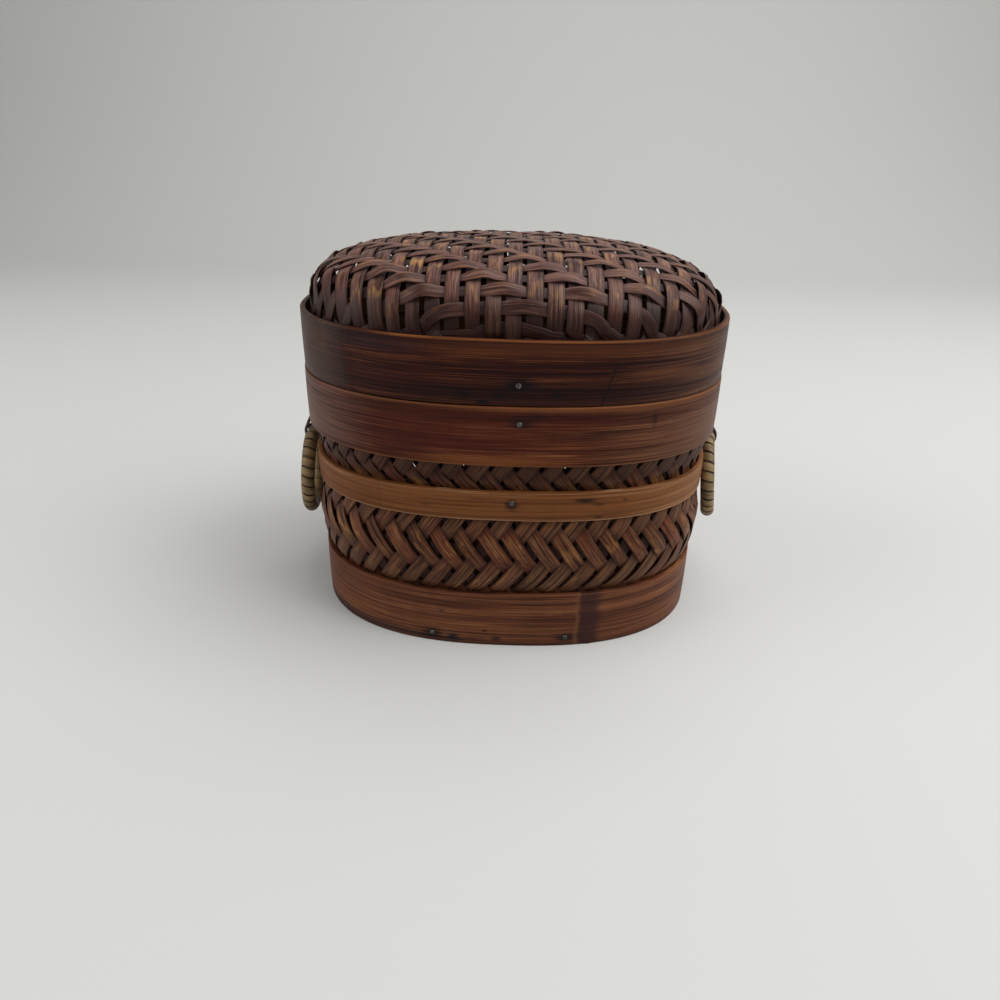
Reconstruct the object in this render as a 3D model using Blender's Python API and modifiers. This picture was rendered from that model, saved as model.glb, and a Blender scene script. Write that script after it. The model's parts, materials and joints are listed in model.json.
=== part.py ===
"""Lidded trinket box of plaited bamboo splints, bound with bent bamboo hoops.

The body and the domed lid are plaited shells. Each edge of the weave is nipped between
an outer and an inner hoop, and brads hold the layers together. The inner hoop of the rim
stands up as a collar that the lid fits over. A ring bound with cane hangs from a tie at
each end. Metres, +Z up, long side along X, origin on the ground under the centre.
"""
from math import atan2, cos, pi, sin

import bmesh
import bpy
from mathutils import Matrix, Vector

# Plan outline: a superellipse, given at the outer face of the foot hoop.
HALF_LENGTH = 0.0800
HALF_WIDTH = 0.0607
SQUARENESS = 2.45
FACETS = 52

# Layers, from the outside in: hoop, plaited weave, inner hoop.
GAP = 0.0003
HOOP_THICK = 0.0019
WEAVE_THICK = 0.0016
INNER_THICK = 0.0014
HOOP_ROUNDING = 0.0004
LID_PLAY = 0.0004

# Outer face of each hoop, outwards from the plan outline.
FOOT_OUT = 0.0
WAIST_OUT = 0.0006
RIM_OUT = 0.0028
LID_OUT = 0.0025
WAIST_THICK = 0.0016

# Heights of the hoops.
FOOT_Z = (0.0, 0.0240)
FOOT_INNER_Z = (0.0031, 0.0112)
WAIST_Z = (0.0572, 0.0688)
WAIST_INNER_Z = (0.0580, 0.0680)
RIM_Z = (0.0790, 0.1009)
COLLAR_Z = (0.0794, 0.1059)
LID_Z = (0.1012, 0.1234)
LID_INNER_Z = (0.1066, 0.1165)

# Weave of the body: a flat bottom, rounded corners and a wall that bulges between the hoops.
BOTTOM_Z = 0.0010
CORNER_RADIUS = 0.0024
BULGE_OUT = 0.0014

# Weave of the lid: a skirt behind the lid hoop, then a flat-topped dome.
DOME_FOOT_IN = -0.0012
DOME_HEIGHT = 0.0239
DOME_SQUARENESS = 2.5
DOME_ANGLES = (20, 38, 54, 68, 80)

# Openings between the splints: a plain grid that stands for the many finer ones.
WALL_OPENING = (0.0017, 0.0025)
WALL_OPENINGS_Z = (0.0336, 0.0468)
UPPER_OPENINGS_Z = 0.0739
DOME_OPENING = 0.0026
DOME_OPENING_PITCH = 0.0163
DOME_OPENING_EDGE = 0.92

# Lapped ends of the hoops.
LAP_FACETS = 3

# Brads: head at the outside, shank through all layers, tip bent over inside.
BRAD_HEAD = 0.00105
BRAD_DOME = 0.00055
BRAD_SHANK = 0.0005
BRAD_HOLE = 0.0009
BRAD_TIP = 0.0022
FOOT_BRAD_Z = 0.0040
WAIST_BRAD_Z = 0.0638
RIM_BRAD_Z = 0.0948
LID_BRAD_Z = 0.1083

# Handles: a round core bound with flat cane, hung from a tie and turned a little to the front.
RING_RADIUS = 0.0170
CORE_RADIUS = 0.0021
CANE_WIDTH = 0.0031
CANE_THICK = 0.00045
CANE_TURNS = 24
CANE_STEPS = 10
CANE_END_ANGLE = 0.15
RING_X = 0.0864
RING_TURN = 10 * pi / 180
RING_TOP_Z = {"left": 0.0655, "right": 0.0690}
TIE_RADIUS = 0.0005
TIE_REACH = 0.00375
TIE_HOLE = 0.0009
TIE_HOLES_Z = (0.0710, 0.0772)

COLOURS = {
    "lid_hoop": (0.045, 0.012, 0.007),
    "rim_hoop": (0.105, 0.030, 0.014),
    "waist_hoop": (0.250, 0.110, 0.045),
    "foot_hoop": (0.110, 0.035, 0.018),
    "inner_hoop": (0.200, 0.090, 0.038),
    "body_weave": (0.095, 0.045, 0.022),
    "dome_weave": (0.065, 0.026, 0.018),
    "cane": (0.150, 0.110, 0.045),
    "rattan": (0.180, 0.110, 0.050),
    "tie": (0.025, 0.014, 0.010),
    "steel": (0.250, 0.240, 0.220),
}


def clear_scene():
    for item in list(bpy.data.objects):
        bpy.data.objects.remove(item, do_unlink=True)


def new_collection(name):
    collection = bpy.data.collections.new(name)
    bpy.context.scene.collection.children.link(collection)
    return collection


def material(name):
    existing = bpy.data.materials.get(name)
    if existing:
        return existing
    made = bpy.data.materials.new(name)
    made.use_nodes = True
    shader = made.node_tree.nodes["Principled BSDF"]
    shader.inputs["Base Color"].default_value = (*COLOURS[name], 1.0)
    shader.inputs["Roughness"].default_value = 0.35 if name == "steel" else 0.55
    shader.inputs["Metallic"].default_value = 1.0 if name == "steel" else 0.0
    return made


def add_object(name, data, collection, finish=None):
    made = bpy.data.objects.new(name, data)
    collection.objects.link(made)
    if finish:
        data.materials.append(material(finish))
    return made


def signed_power(value, power):
    return (abs(value) ** power) * (1 if value >= 0 else -1)


def superellipse(angle):
    return Vector((HALF_LENGTH * signed_power(cos(angle), 2 / SQUARENESS),
                   HALF_WIDTH * signed_power(sin(angle), 2 / SQUARENESS)))


def outline_normal(point):
    slope_x = signed_power(point.x / HALF_LENGTH, SQUARENESS - 1) / HALF_LENGTH
    slope_y = signed_power(point.y / HALF_WIDTH, SQUARENESS - 1) / HALF_WIDTH
    return Vector((slope_x, slope_y)).normalized()


def outline_points(count):
    """Points and normals at equal arc lengths, with a facet's middle at each end of both axes."""
    fine = 8000
    walk = [superellipse(2 * pi * i / fine) for i in range(fine + 1)]
    lengths = [0.0]
    for before, after in zip(walk, walk[1:]):
        lengths.append(lengths[-1] + (after - before).length)
    chosen = []
    step = 0
    for k in range(count):
        target = (k + 0.5) / count * lengths[-1]
        while lengths[step + 1] < target:
            step += 1
        share = (target - lengths[step]) / (lengths[step + 1] - lengths[step])
        point = walk[step].lerp(walk[step + 1], share)
        chosen.append((point, outline_normal(point)))
    return chosen


OUTLINE = outline_points(FACETS)


def outline_at(index, out, scale=1.0):
    point, normal = OUTLINE[index % FACETS]
    return point * scale + normal * out


def loft(name, sections):
    """A closed mesh through a list of sections of equally many points, with an end cap at each end."""
    mesh = bpy.data.meshes.new(name)
    work = bmesh.new()
    rows = [[work.verts.new(point) for point in section] for section in sections]
    for low, high in zip(rows, rows[1:]):
        for i in range(len(low)):
            j = (i + 1) % len(low)
            work.faces.new((low[i], low[j], high[j], high[i]))
    work.faces.new(reversed(rows[0]))
    work.faces.new(rows[-1])
    bmesh.ops.recalc_face_normals(work, faces=work.faces)
    work.to_mesh(mesh)
    work.free()
    return mesh


def smooth(piece):
    piece.data.shade_smooth()
    piece.data.set_sharp_from_angle(angle=0.6)


def hoop_section(inner, outer, heights, rounding):
    """Corners of a hoop's cross-section as (distance out, height), rounded on the outside."""
    low, high = heights
    if rounding == 0:
        return [(inner, low), (outer, low), (outer, high), (inner, high)]
    soft = min(rounding, (outer - inner) / 2)
    return [(inner, low), (outer - soft, low), (outer, low + soft),
            (outer, high - soft), (outer - soft, high), (inner, high)]


def hoop(name, out, thick, heights, finish, collection, lap_middle, rounding=0.0):
    """A strip bent once round the outline, with thinned ends that lap over each other."""
    middle = -thick / 2
    start = lap_middle - LAP_FACETS // 2 - 1
    rings = []
    for k in range(FACETS + LAP_FACETS + 1):
        inner, outer = -thick, 0.0
        if k <= LAP_FACETS:
            outer = middle - GAP / 2
        if k >= FACETS:
            inner = middle + GAP / 2
        section = hoop_section(out + inner, out + outer, heights, rounding)
        rings.append([(*outline_at(start + k, reach), height) for reach, height in section])
    piece = add_object(name, loft(name, rings), collection, finish)
    smooth(piece)
    return piece


def weave_shell(name, rows, finish, collection, pole_first):
    """A plaited shell: an open surface through rows of (out, height, scale), made solid inwards."""
    mesh = bpy.data.meshes.new(name)
    work = bmesh.new()
    loops = []
    for out, height, scale in rows:
        loops.append([work.verts.new((*outline_at(k, out, scale), height)) for k in range(FACETS)])
    pole_height = rows[0][1] if pole_first else LID_Z[1] + DOME_HEIGHT
    pole = work.verts.new((0, 0, pole_height))
    for k in range(FACETS):
        after = (k + 1) % FACETS
        for low, high in zip(loops, loops[1:]):
            work.faces.new((low[k], low[after], high[after], high[k]))
        if pole_first:
            work.faces.new((pole, loops[0][after], loops[0][k]))
        else:
            work.faces.new((loops[-1][k], loops[-1][after], pole))
    work.to_mesh(mesh)
    work.free()
    shell = add_object(name, mesh, collection, finish)
    smooth(shell)
    solid = shell.modifiers.new("thickness", "SOLIDIFY")
    solid.thickness = WEAVE_THICK
    solid.offset = -1
    return shell


def body_rows():
    """The body's outer face, from the middle of the bottom up to the rim."""
    foot = FOOT_OUT - HOOP_THICK - GAP
    waist = WAIST_OUT - WAIST_THICK - GAP
    rim = RIM_OUT - HOOP_THICK - GAP
    rows = [(0, BOTTOM_Z, 0.4), (foot - CORNER_RADIUS, BOTTOM_Z, 1.0)]
    for step in (1, 2):
        turn = step * pi / 4
        rows.append((foot - CORNER_RADIUS * (1 - sin(turn)),
                     BOTTOM_Z + CORNER_RADIUS * (1 - cos(turn)), 1.0))
    rows.append((foot, FOOT_Z[1], 1.0))
    low, high = FOOT_Z[1], WAIST_Z[0]
    for share in (0.2, 0.5, 0.8):
        bulge = sin(pi * share) ** 0.7
        base = foot + (waist - foot) * share
        rows.append((base + (BULGE_OUT - base) * bulge, low + (high - low) * share, 1.0))
    rows.append((waist, WAIST_Z[0], 1.0))
    rows.append((waist, WAIST_Z[1], 1.0))
    rows.append((rim - 0.0003, (WAIST_Z[1] + RIM_Z[0]) / 2 + 0.001, 1.0))
    rows.append((rim, RIM_Z[0] + 0.001, 1.0))
    rows.append((rim, RIM_Z[1] - GAP, 1.0))
    return rows


def dome_rows():
    """The lid's outer face, from the bottom of the skirt up to the crown."""
    skirt = LID_OUT - HOOP_THICK - GAP
    base = LID_Z[1]
    rows = [(skirt, LID_Z[0] + GAP, 1.0), (skirt, base - 0.006, 1.0), (DOME_FOOT_IN, base, 1.0)]
    power = 2 / DOME_SQUARENESS
    for degrees in DOME_ANGLES:
        turn = degrees * pi / 180
        rows.append((DOME_FOOT_IN * cos(turn), base + DOME_HEIGHT * sin(turn) ** power,
                     cos(turn) ** power))
    return rows


def facet_at(side, along, out):
    """The point and outward normal on the facet that lies at a distance along one side."""
    towards = Vector(side)
    across = Vector((-towards.y, towards.x))
    for k in range(FACETS):
        first, second = outline_at(k, out), outline_at(k + 1, out)
        if (first + second).dot(towards) <= 0 or OUTLINE[k][1].dot(towards) < 0.3:
            continue
        low, high = first.dot(across), second.dot(across)
        if low <= along <= high:
            share = (along - low) / (high - low)
            direction = (second - first).normalized()
            return first.lerp(second, share), Vector((direction.y, -direction.x))
    raise ValueError("no facet there")


FRONT, BACK, LEFT, RIGHT = (0, -1), (0, 1), (-1, 0), (1, 0)


def place(point, normal, depth, height):
    spot = point + normal * depth
    return Vector((spot.x, spot.y, height))


def brad(name, side, along, out, stack, height, collection):
    """A brad through a stack of layers: a domed head, a shank and a tip bent over inside."""
    curve = bpy.data.curves.new(name, "CURVE")
    curve.dimensions = "3D"
    curve.bevel_depth = 1.0
    curve.bevel_resolution = 1
    curve.use_fill_caps = True
    point, normal = facet_at(side, along, out)
    inside = -(stack + GAP + BRAD_SHANK)
    path = [(GAP + BRAD_DOME, 0, BRAD_HEAD * 0.45), (GAP + BRAD_DOME * 0.7, 0, BRAD_HEAD * 0.85),
            (GAP, 0, BRAD_HEAD), (GAP - 0.00002, 0, BRAD_SHANK),
            (inside + 0.0003, 0, BRAD_SHANK), (inside - 0.0001, 0.0004, BRAD_SHANK),
            (inside - 0.0001, BRAD_TIP, BRAD_SHANK * 0.6)]
    spline = curve.splines.new("POLY")
    spline.points.add(len(path) - 1)
    for spot, (depth, rise, radius) in zip(spline.points, path):
        spot.co = (*place(point, normal, depth, height + rise), 1)
        spot.radius = radius
    return add_object(name, curve, collection, "steel")


def drill(name, spots, out, depth, height, radius, collection):
    """A cutter: one short rod through the layers for each spot."""
    mesh = bpy.data.meshes.new(name)
    work = bmesh.new()
    for side, along in spots:
        point, normal = facet_at(side, along, out)
        start, end = place(point, normal, 0.002, height), place(point, normal, -depth, height)
        turn = (end - start).to_track_quat("Z", "Y").to_matrix().to_4x4()
        turn.translation = (start + end) / 2
        bmesh.ops.create_cone(work, cap_ends=True, segments=6, radius1=radius, radius2=radius,
                              depth=(end - start).length, matrix=turn)
    work.to_mesh(mesh)
    work.free()
    cutter = add_object(name, mesh, collection)
    cutter.hide_render = True
    cutter.display_type = "WIRE"
    return cutter


def turned_to(spot, sideways, normal):
    """A frame at a spot, with Z along a normal and X close to a sideways direction."""
    upwards = normal.cross(sideways).normalized()
    turn = Matrix((upwards.cross(normal), upwards, normal)).transposed().to_4x4()
    turn.translation = spot
    return turn


def openings(name, frames, half_width, half_height, collection):
    """A cutter: one four-sided rod for each frame, with its corners on the frame's X and Y."""
    mesh = bpy.data.meshes.new(name)
    work = bmesh.new()
    for frame in frames:
        stretch = Matrix.Diagonal((half_width, half_height, 1.0, 1.0))
        bmesh.ops.create_cone(work, cap_ends=True, segments=4, radius1=1.0, radius2=1.0,
                              depth=4 * WEAVE_THICK, matrix=frame @ stretch)
    work.to_mesh(mesh)
    work.free()
    cutter = add_object(name, mesh, collection)
    cutter.hide_render = True
    cutter.display_type = "WIRE"
    return cutter


def wall_frames():
    """Frames round the wall, on every other facet, each row half a step on from the one below."""
    frames = []
    for row, height in enumerate((*WALL_OPENINGS_Z, UPPER_OPENINGS_Z)):
        for k in range(row % 2, FACETS, 2):
            first, second = outline_at(k, -WEAVE_THICK / 2), outline_at(k + 1, -WEAVE_THICK / 2)
            along = (second - first).normalized().to_3d()
            middle = (first + second) / 2
            frames.append(turned_to(Vector((*middle, height)), along, along.cross(Vector((0, 0, 1)))))
    return frames


def dome_height(x, y):
    """Height of the lid's outer face above a point of the plan."""
    reach = (abs(x / HALF_LENGTH) ** SQUARENESS + abs(y / HALF_WIDTH) ** SQUARENESS) ** (1 / SQUARENESS)
    return LID_Z[1] + DOME_HEIGHT * max(1 - reach ** DOME_SQUARENESS, 0) ** (1 / DOME_SQUARENESS)


def dome_frames():
    """Frames on a square grid over the dome, each facing straight out of it."""
    frames = []
    nudge = 0.0005
    columns = int(HALF_LENGTH / DOME_OPENING_PITCH) + 1
    for i in range(-columns, columns):
        for j in range(-columns, columns):
            x, y = (i + 0.5) * DOME_OPENING_PITCH, (j + 0.5) * DOME_OPENING_PITCH
            reach = (abs(x / HALF_LENGTH) ** SQUARENESS + abs(y / HALF_WIDTH) ** SQUARENESS)
            if reach ** (1 / SQUARENESS) > DOME_OPENING_EDGE:
                continue
            height = dome_height(x, y)
            slope_x = (dome_height(x + nudge, y) - height) / nudge
            slope_y = (dome_height(x, y + nudge) - height) / nudge
            normal = Vector((-slope_x, -slope_y, 1)).normalized()
            spot = Vector((x, y, height)) - normal * WEAVE_THICK / 2
            frames.append(turned_to(spot, Vector((1, 1, 0)), normal))
    return frames


def cut(piece, cutter):
    modifier = piece.modifiers.new("cut " + cutter.name, "BOOLEAN")
    modifier.operation = "DIFFERENCE"
    modifier.solver = "EXACT"
    modifier.object = cutter


def pivot(name, spot, collection):
    empty = add_object(name, None, collection)
    empty.location = spot
    return empty


def attach(piece, carrier):
    piece.parent = carrier
    piece.matrix_parent_inverse.identity()


def ring_core(name, carrier, collection):
    """The rattan core: a torus in its carrier's YZ plane, with its top on the carrier."""
    bpy.ops.mesh.primitive_torus_add(major_segments=30, minor_segments=8,
                                     major_radius=RING_RADIUS, minor_radius=CORE_RADIUS,
                                     location=(0, 0, -RING_RADIUS), rotation=(0, pi / 2, 0))
    core = bpy.context.object
    core.name = name
    for holder in list(core.users_collection):
        holder.objects.unlink(core)
    collection.objects.link(core)
    core.data.materials.append(material("rattan"))
    smooth(core)
    attach(core, carrier)
    return core


def on_ring(along, around, distance):
    """A point near the ring: an angle along it from the top, and one around its tube."""
    reach = RING_RADIUS + distance * cos(around)
    return Vector((distance * sin(around), reach * sin(along), reach * cos(along) - RING_RADIUS))


def cane_sections():
    """Cross-sections of the flat cane, wound round the core from one side of the tie to the other."""
    middle = CORE_RADIUS + GAP + CANE_THICK / 2
    span = 2 * pi - 2 * CANE_END_ANGLE
    steps = CANE_TURNS * CANE_STEPS
    pitch = RING_RADIUS * span / CANE_TURNS
    slope = atan2(pitch, 2 * pi * middle)
    sections = []
    for step in range(steps + 1):
        along = CANE_END_ANGLE + span * step / steps
        around = 2 * pi * step / CANE_STEPS
        local = RING_RADIUS + middle * cos(around)
        sideways = CANE_WIDTH / 2 * cos(slope) / local
        twist = CANE_WIDTH / 2 * sin(slope) / middle
        section = []
        for edge, layer in ((-1, -1), (1, -1), (1, 1), (-1, 1)):
            section.append(on_ring(along + edge * sideways, around - edge * twist,
                                   middle + layer * CANE_THICK / 2))
        sections.append(section)
    return sections


def least_gap(sections):
    """Smallest distance between one turn's leading edge and the next turn's trailing edge."""
    smallest = 1.0
    window = range(CANE_STEPS - 3, CANE_STEPS + 4)
    for step, section in enumerate(sections):
        for ahead in window:
            if step + ahead >= len(sections):
                continue
            for mine in (section[1], section[2]):
                for theirs in (sections[step + ahead][0], sections[step + ahead][3]):
                    smallest = min(smallest, (mine - theirs).length)
    return smallest


def ring_binding(name, carrier, collection):
    sections = cane_sections()
    print(name, "turns", CANE_TURNS, "least gap to itself mm",
          round(least_gap(sections) * 1000, 2))
    binding = add_object(name, loft(name, sections), collection, "cane")
    smooth(binding)
    attach(binding, carrier)
    return binding


def tie_route(top_z):
    """Route of a tie as (distance out, height): out of the wall, round the ring, back in."""
    low, high = TIE_HOLES_Z
    keys = [(0.0770, high - 0.0004), (0.0786, high), (0.0812, high), (0.0846, high - 0.0013)]
    for degrees in (35, 5, -25, -55, -85, -115, -145, -175):
        turn = degrees * pi / 180
        keys.append((RING_X + TIE_REACH * cos(turn), top_z + TIE_REACH * sin(turn)))
    keys.append((RING_X - TIE_REACH, max(top_z, low - 0.0018) + 0.0004))
    keys += [(0.0799, low), (0.0776, low), (0.0766, low + 0.0012), (0.0764, (low + high) / 2)]
    return keys


def tie(name, side, top_z, collection):
    """A loop of thin cane through two holes in the wall and round the top of the ring."""
    curve = bpy.data.curves.new(name, "CURVE")
    curve.dimensions = "3D"
    curve.bevel_depth = TIE_RADIUS
    curve.bevel_resolution = 1
    spline = curve.splines.new("POLY")
    route = tie_route(top_z)
    spline.points.add(len(route) - 1)
    for spot, (reach, height) in zip(spline.points, route):
        spot.co = (side * reach, 0, height, 1)
    spline.use_cyclic_u = True
    return add_object(name, curve, collection, "tie")


def build():
    clear_scene()
    parts = new_collection("wicker_trinket_box")
    cutters = new_collection("cutters")
    front_facet = round(FACETS * 0.75)
    back_facet = round(FACETS * 0.25)

    body = weave_shell("woven_body", body_rows(), "body_weave", parts, pole_first=True)
    foot = hoop("foot_hoop", FOOT_OUT, HOOP_THICK, FOOT_Z, "foot_hoop", parts,
                back_facet, HOOP_ROUNDING)
    foot_wall = FOOT_OUT - HOOP_THICK - GAP - WEAVE_THICK - GAP
    foot_inner = hoop("foot_inner_hoop", foot_wall, INNER_THICK, FOOT_INNER_Z, "inner_hoop",
                      parts, front_facet)
    waist = hoop("waist_hoop", WAIST_OUT, WAIST_THICK, WAIST_Z, "waist_hoop", parts,
                 back_facet, HOOP_ROUNDING)
    waist_wall = WAIST_OUT - WAIST_THICK - GAP - WEAVE_THICK - GAP
    waist_inner = hoop("waist_inner_hoop", waist_wall, INNER_THICK, WAIST_INNER_Z,
                       "inner_hoop", parts, front_facet)
    rim = hoop("rim_hoop", RIM_OUT, HOOP_THICK, RIM_Z, "rim_hoop", parts, back_facet,
               HOOP_ROUNDING)
    lid_wall = LID_OUT - HOOP_THICK - GAP - WEAVE_THICK
    collar = hoop("rim_collar", lid_wall - LID_PLAY, INNER_THICK, COLLAR_Z, "inner_hoop",
                  parts, front_facet)

    lid = pivot("lid", (0, 0, LID_Z[0]), parts)
    dome = weave_shell("woven_dome", dome_rows(), "dome_weave", parts, pole_first=False)
    lid_band = hoop("lid_hoop", LID_OUT, HOOP_THICK, LID_Z, "lid_hoop", parts, back_facet,
                    HOOP_ROUNDING)
    lid_inner = hoop("lid_inner_hoop", lid_wall - GAP, INNER_THICK, LID_INNER_Z,
                     "inner_hoop", parts, front_facet)

    # Brads and their holes: name, layers, places round the hoop, reach, depth and height.
    ring_spots = {"back": (BACK, 0.0), "left": (LEFT, 0.0), "right": (RIGHT, 0.0)}
    stacks = (
        ("foot_brad", (foot, body, foot_inner),
         {"front_left": (FRONT, -0.0289), "front_right": (FRONT, 0.0240),
          "back_left": (BACK, 0.0240), "back_right": (BACK, -0.0289)},
         FOOT_OUT, FOOT_OUT - foot_wall + INNER_THICK, FOOT_BRAD_Z),
        ("waist_brad", (waist, body, waist_inner),
         {"front": (FRONT, 0.0012), "back": (BACK, 0.0)},
         WAIST_OUT, WAIST_OUT - waist_wall + INNER_THICK, WAIST_BRAD_Z),
        ("rim_brad", (rim, body, collar), {"front": (FRONT, 0.0030), **ring_spots},
         RIM_OUT, RIM_OUT - lid_wall + LID_PLAY + INNER_THICK, RIM_BRAD_Z),
        ("lid_brad", (lid_band, dome, lid_inner), {"front": (FRONT, 0.0023), **ring_spots},
         LID_OUT, LID_OUT - lid_wall + GAP + INNER_THICK, LID_BRAD_Z),
    )
    lid_pieces = [dome, lid_band, lid_inner]
    for name, layers, spots, out, stack, height in stacks:
        for spot, (side, along) in spots.items():
            made = brad(f"{name}_{spot}", side, along, out, stack, height, parts)
            if name == "lid_brad":
                lid_pieces.append(made)
        holes = drill(name + "_holes", spots.values(), out, stack + 0.002, height,
                      BRAD_HOLE, cutters)
        for layer in layers:
            cut(layer, holes)
    cut(body, openings("wall_openings", wall_frames(), *WALL_OPENING, cutters))
    cut(dome, openings("dome_openings", dome_frames(), DOME_OPENING, DOME_OPENING, cutters))
    for piece in lid_pieces:
        piece.location = (0, 0, -LID_Z[0])
        attach(piece, lid)

    ends = (("left", -1, LEFT), ("right", 1, RIGHT))
    for number, height in enumerate(TIE_HOLES_Z):
        holes = drill(f"tie_holes_{number}", [(end[2], 0.0) for end in ends], RIM_OUT,
                      0.009, height, TIE_HOLE, cutters)
        cut(body, holes)
    for name, side, _ in ends:
        top_z = RING_TOP_Z[name]
        tie("handle_tie_" + name, side, top_z, parts)
        hinge = pivot("handle_hinge_" + name, (side * RING_X, 0, top_z), parts)
        hinge.rotation_euler.z = -side * RING_TURN
        ring_core("ring_core_" + name, hinge, parts)
        ring_binding("ring_binding_" + name, hinge, parts)


build()
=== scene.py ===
# %% [markdown]
# # A plaited trinket box
#
# The real box is plaited from flat bamboo splints and bound with bent bamboo hoops. The packed
# model gives every piece its true place and size. This lesson makes what the eye wants on top of
# it: each splint, each lapped hoop, the cane on the handles, the brads, and their finishes.

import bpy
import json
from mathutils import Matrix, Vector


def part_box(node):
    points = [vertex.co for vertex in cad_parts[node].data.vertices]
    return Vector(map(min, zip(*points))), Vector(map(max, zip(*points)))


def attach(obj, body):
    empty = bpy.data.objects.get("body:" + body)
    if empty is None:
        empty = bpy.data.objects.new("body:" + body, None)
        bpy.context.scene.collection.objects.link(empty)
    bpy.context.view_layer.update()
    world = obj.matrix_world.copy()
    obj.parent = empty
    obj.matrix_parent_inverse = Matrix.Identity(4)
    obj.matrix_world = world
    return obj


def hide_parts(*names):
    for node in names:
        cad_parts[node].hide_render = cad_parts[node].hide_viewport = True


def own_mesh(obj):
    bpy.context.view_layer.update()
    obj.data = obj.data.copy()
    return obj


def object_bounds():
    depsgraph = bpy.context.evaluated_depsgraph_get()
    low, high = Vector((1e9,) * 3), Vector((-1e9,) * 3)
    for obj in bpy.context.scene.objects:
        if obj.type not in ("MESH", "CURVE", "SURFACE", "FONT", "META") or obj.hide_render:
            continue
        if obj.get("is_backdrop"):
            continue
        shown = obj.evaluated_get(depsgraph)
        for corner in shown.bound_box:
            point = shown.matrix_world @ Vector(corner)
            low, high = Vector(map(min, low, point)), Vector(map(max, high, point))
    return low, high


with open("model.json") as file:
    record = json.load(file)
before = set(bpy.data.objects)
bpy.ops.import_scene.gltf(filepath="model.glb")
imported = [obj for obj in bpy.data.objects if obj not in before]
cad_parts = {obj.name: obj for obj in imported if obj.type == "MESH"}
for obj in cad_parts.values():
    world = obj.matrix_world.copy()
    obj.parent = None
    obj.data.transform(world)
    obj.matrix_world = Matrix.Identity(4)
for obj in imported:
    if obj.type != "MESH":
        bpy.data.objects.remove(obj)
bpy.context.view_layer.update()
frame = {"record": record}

# %% Modules
import json
from math import cos, pi, radians, sin, tan

import bmesh
import bpy
import numpy as np
from mathutils import Matrix, Vector

MM = 0.001
scene = bpy.context.scene


def heights(node):
    low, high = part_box(node)
    return low.z, high.z


def new_object(name, data):
    made = bpy.data.objects.new(name, data)
    scene.collection.objects.link(made)
    return made


def new_mesh(name, points, faces):
    made = bpy.data.meshes.new(name)
    made.from_pydata(points, [], faces)
    return made


print("hoop heights", {n: heights(n) for n in ("foot_hoop", "waist_hoop", "rim_hoop", "lid_hoop")})

# %% [markdown]
# ## The plan outline
#
# From above the box is neither an ellipse nor a rectangle. A superellipse with an exponent of
# about two and a half gives the full, soft corners that a bent bamboo strip takes by itself.
# Every piece below is placed by its distance round this line, measured from the middle of the
# front and growing to the right, so that a mark on a hoop is given as a person would measure it.

# %% Plan outline
HALF_LENGTH = 80.0 * MM
HALF_WIDTH = 60.7 * MM
SQUARENESS = 2.45
WALK_STEPS = 40000
turn = np.linspace(-pi / 2, 3 * pi / 2, WALK_STEPS + 1)
walk = np.stack([half * np.sign(wave) * np.abs(wave) ** (2 / SQUARENESS)
                 for half, wave in ((HALF_LENGTH, np.cos(turn)), (HALF_WIDTH, np.sin(turn)))], 1)
walk_length = np.concatenate([[0], np.cumsum(np.linalg.norm(np.diff(walk, axis=0), axis=1))])
PERIMETER = walk_length[-1]
SIDE_MIDDLES = {"front": 0.0, "right": PERIMETER / 4, "back": PERIMETER / 2, "left": PERIMETER * 3 / 4}


def plan_normal(points):
    half_sizes = np.array([HALF_LENGTH, HALF_WIDTH])
    ratio = points / half_sizes
    slope = np.sign(ratio) * np.abs(ratio) ** (SQUARENESS - 1) / half_sizes
    return slope / np.linalg.norm(slope, axis=-1, keepdims=True)


def plan(distance, out=0.0):
    """Points at these distances round the outline, moved outwards by out."""
    place = np.asarray(distance) % PERIMETER
    points = np.stack([np.interp(place, walk_length, walk[:, k]) for k in (0, 1)], -1)
    return points + plan_normal(points) * np.asarray(out)[..., None]


print("round the box, mm", round(PERIMETER / MM, 1))

# %% [markdown]
# ## Camera
#
# The photo was taken with a phone held a little above the box. Its wide lens makes the lid look
# larger than the foot, so the camera has to stand at the real distance, with the real lens. The
# place below was fitted to the edges of the hoops.

# %% Camera
CAMERA_PLACE = (0.62 * MM, -302.1 * MM, 185.5 * MM)
CAMERA_DOWN = 26.58
CAMERA_ROLL = 1.36
CAMERA_TURN = 0.86
LENS = 27.0

camera = new_object("camera", bpy.data.cameras.new("camera"))
camera.data.lens = LENS
camera.data.sensor_width = 36.0
camera.data.clip_start = 0.01
camera.matrix_world = Matrix.Translation(CAMERA_PLACE)
for degrees, axis in ((CAMERA_TURN, "Z"), (90 - CAMERA_DOWN, "X"), (CAMERA_ROLL, "Z")):
    camera.matrix_world = camera.matrix_world @ Matrix.Rotation(radians(degrees), 4, axis)
scene.camera = camera
scene.view_settings.view_transform = "Standard"
print("camera", [round(v, 4) for v in camera.location])

# %% [markdown]
# ## Small helpers for node trees
#
# Both the shapes and the finishes are node trees built in code. A helper makes a node, sets its
# inputs and links whatever is a socket. Sockets also learn plain arithmetic, so that adding or
# multiplying two of them makes a Math node, and a tree reads as the formula that it works out.

# %% Node helpers
def feed(node, inputs):
    """Links each socket, and writes each plain value, to the input that its key names."""
    for key, value in inputs.items():
        if isinstance(value, bpy.types.NodeSocket):
            node.id_data.links.new(value, node.inputs[key])
        else:
            node.inputs[key].default_value = value


def add(tree, kind, inputs=None, **settings):
    node = tree.nodes.new(kind)
    for key, value in settings.items():
        setattr(node, key, value)
    feed(node, inputs or {})
    return node


def tree_of(*values):
    """The tree of the first socket among values."""
    return next(value.id_data for value in values if isinstance(value, bpy.types.NodeSocket))


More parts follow.
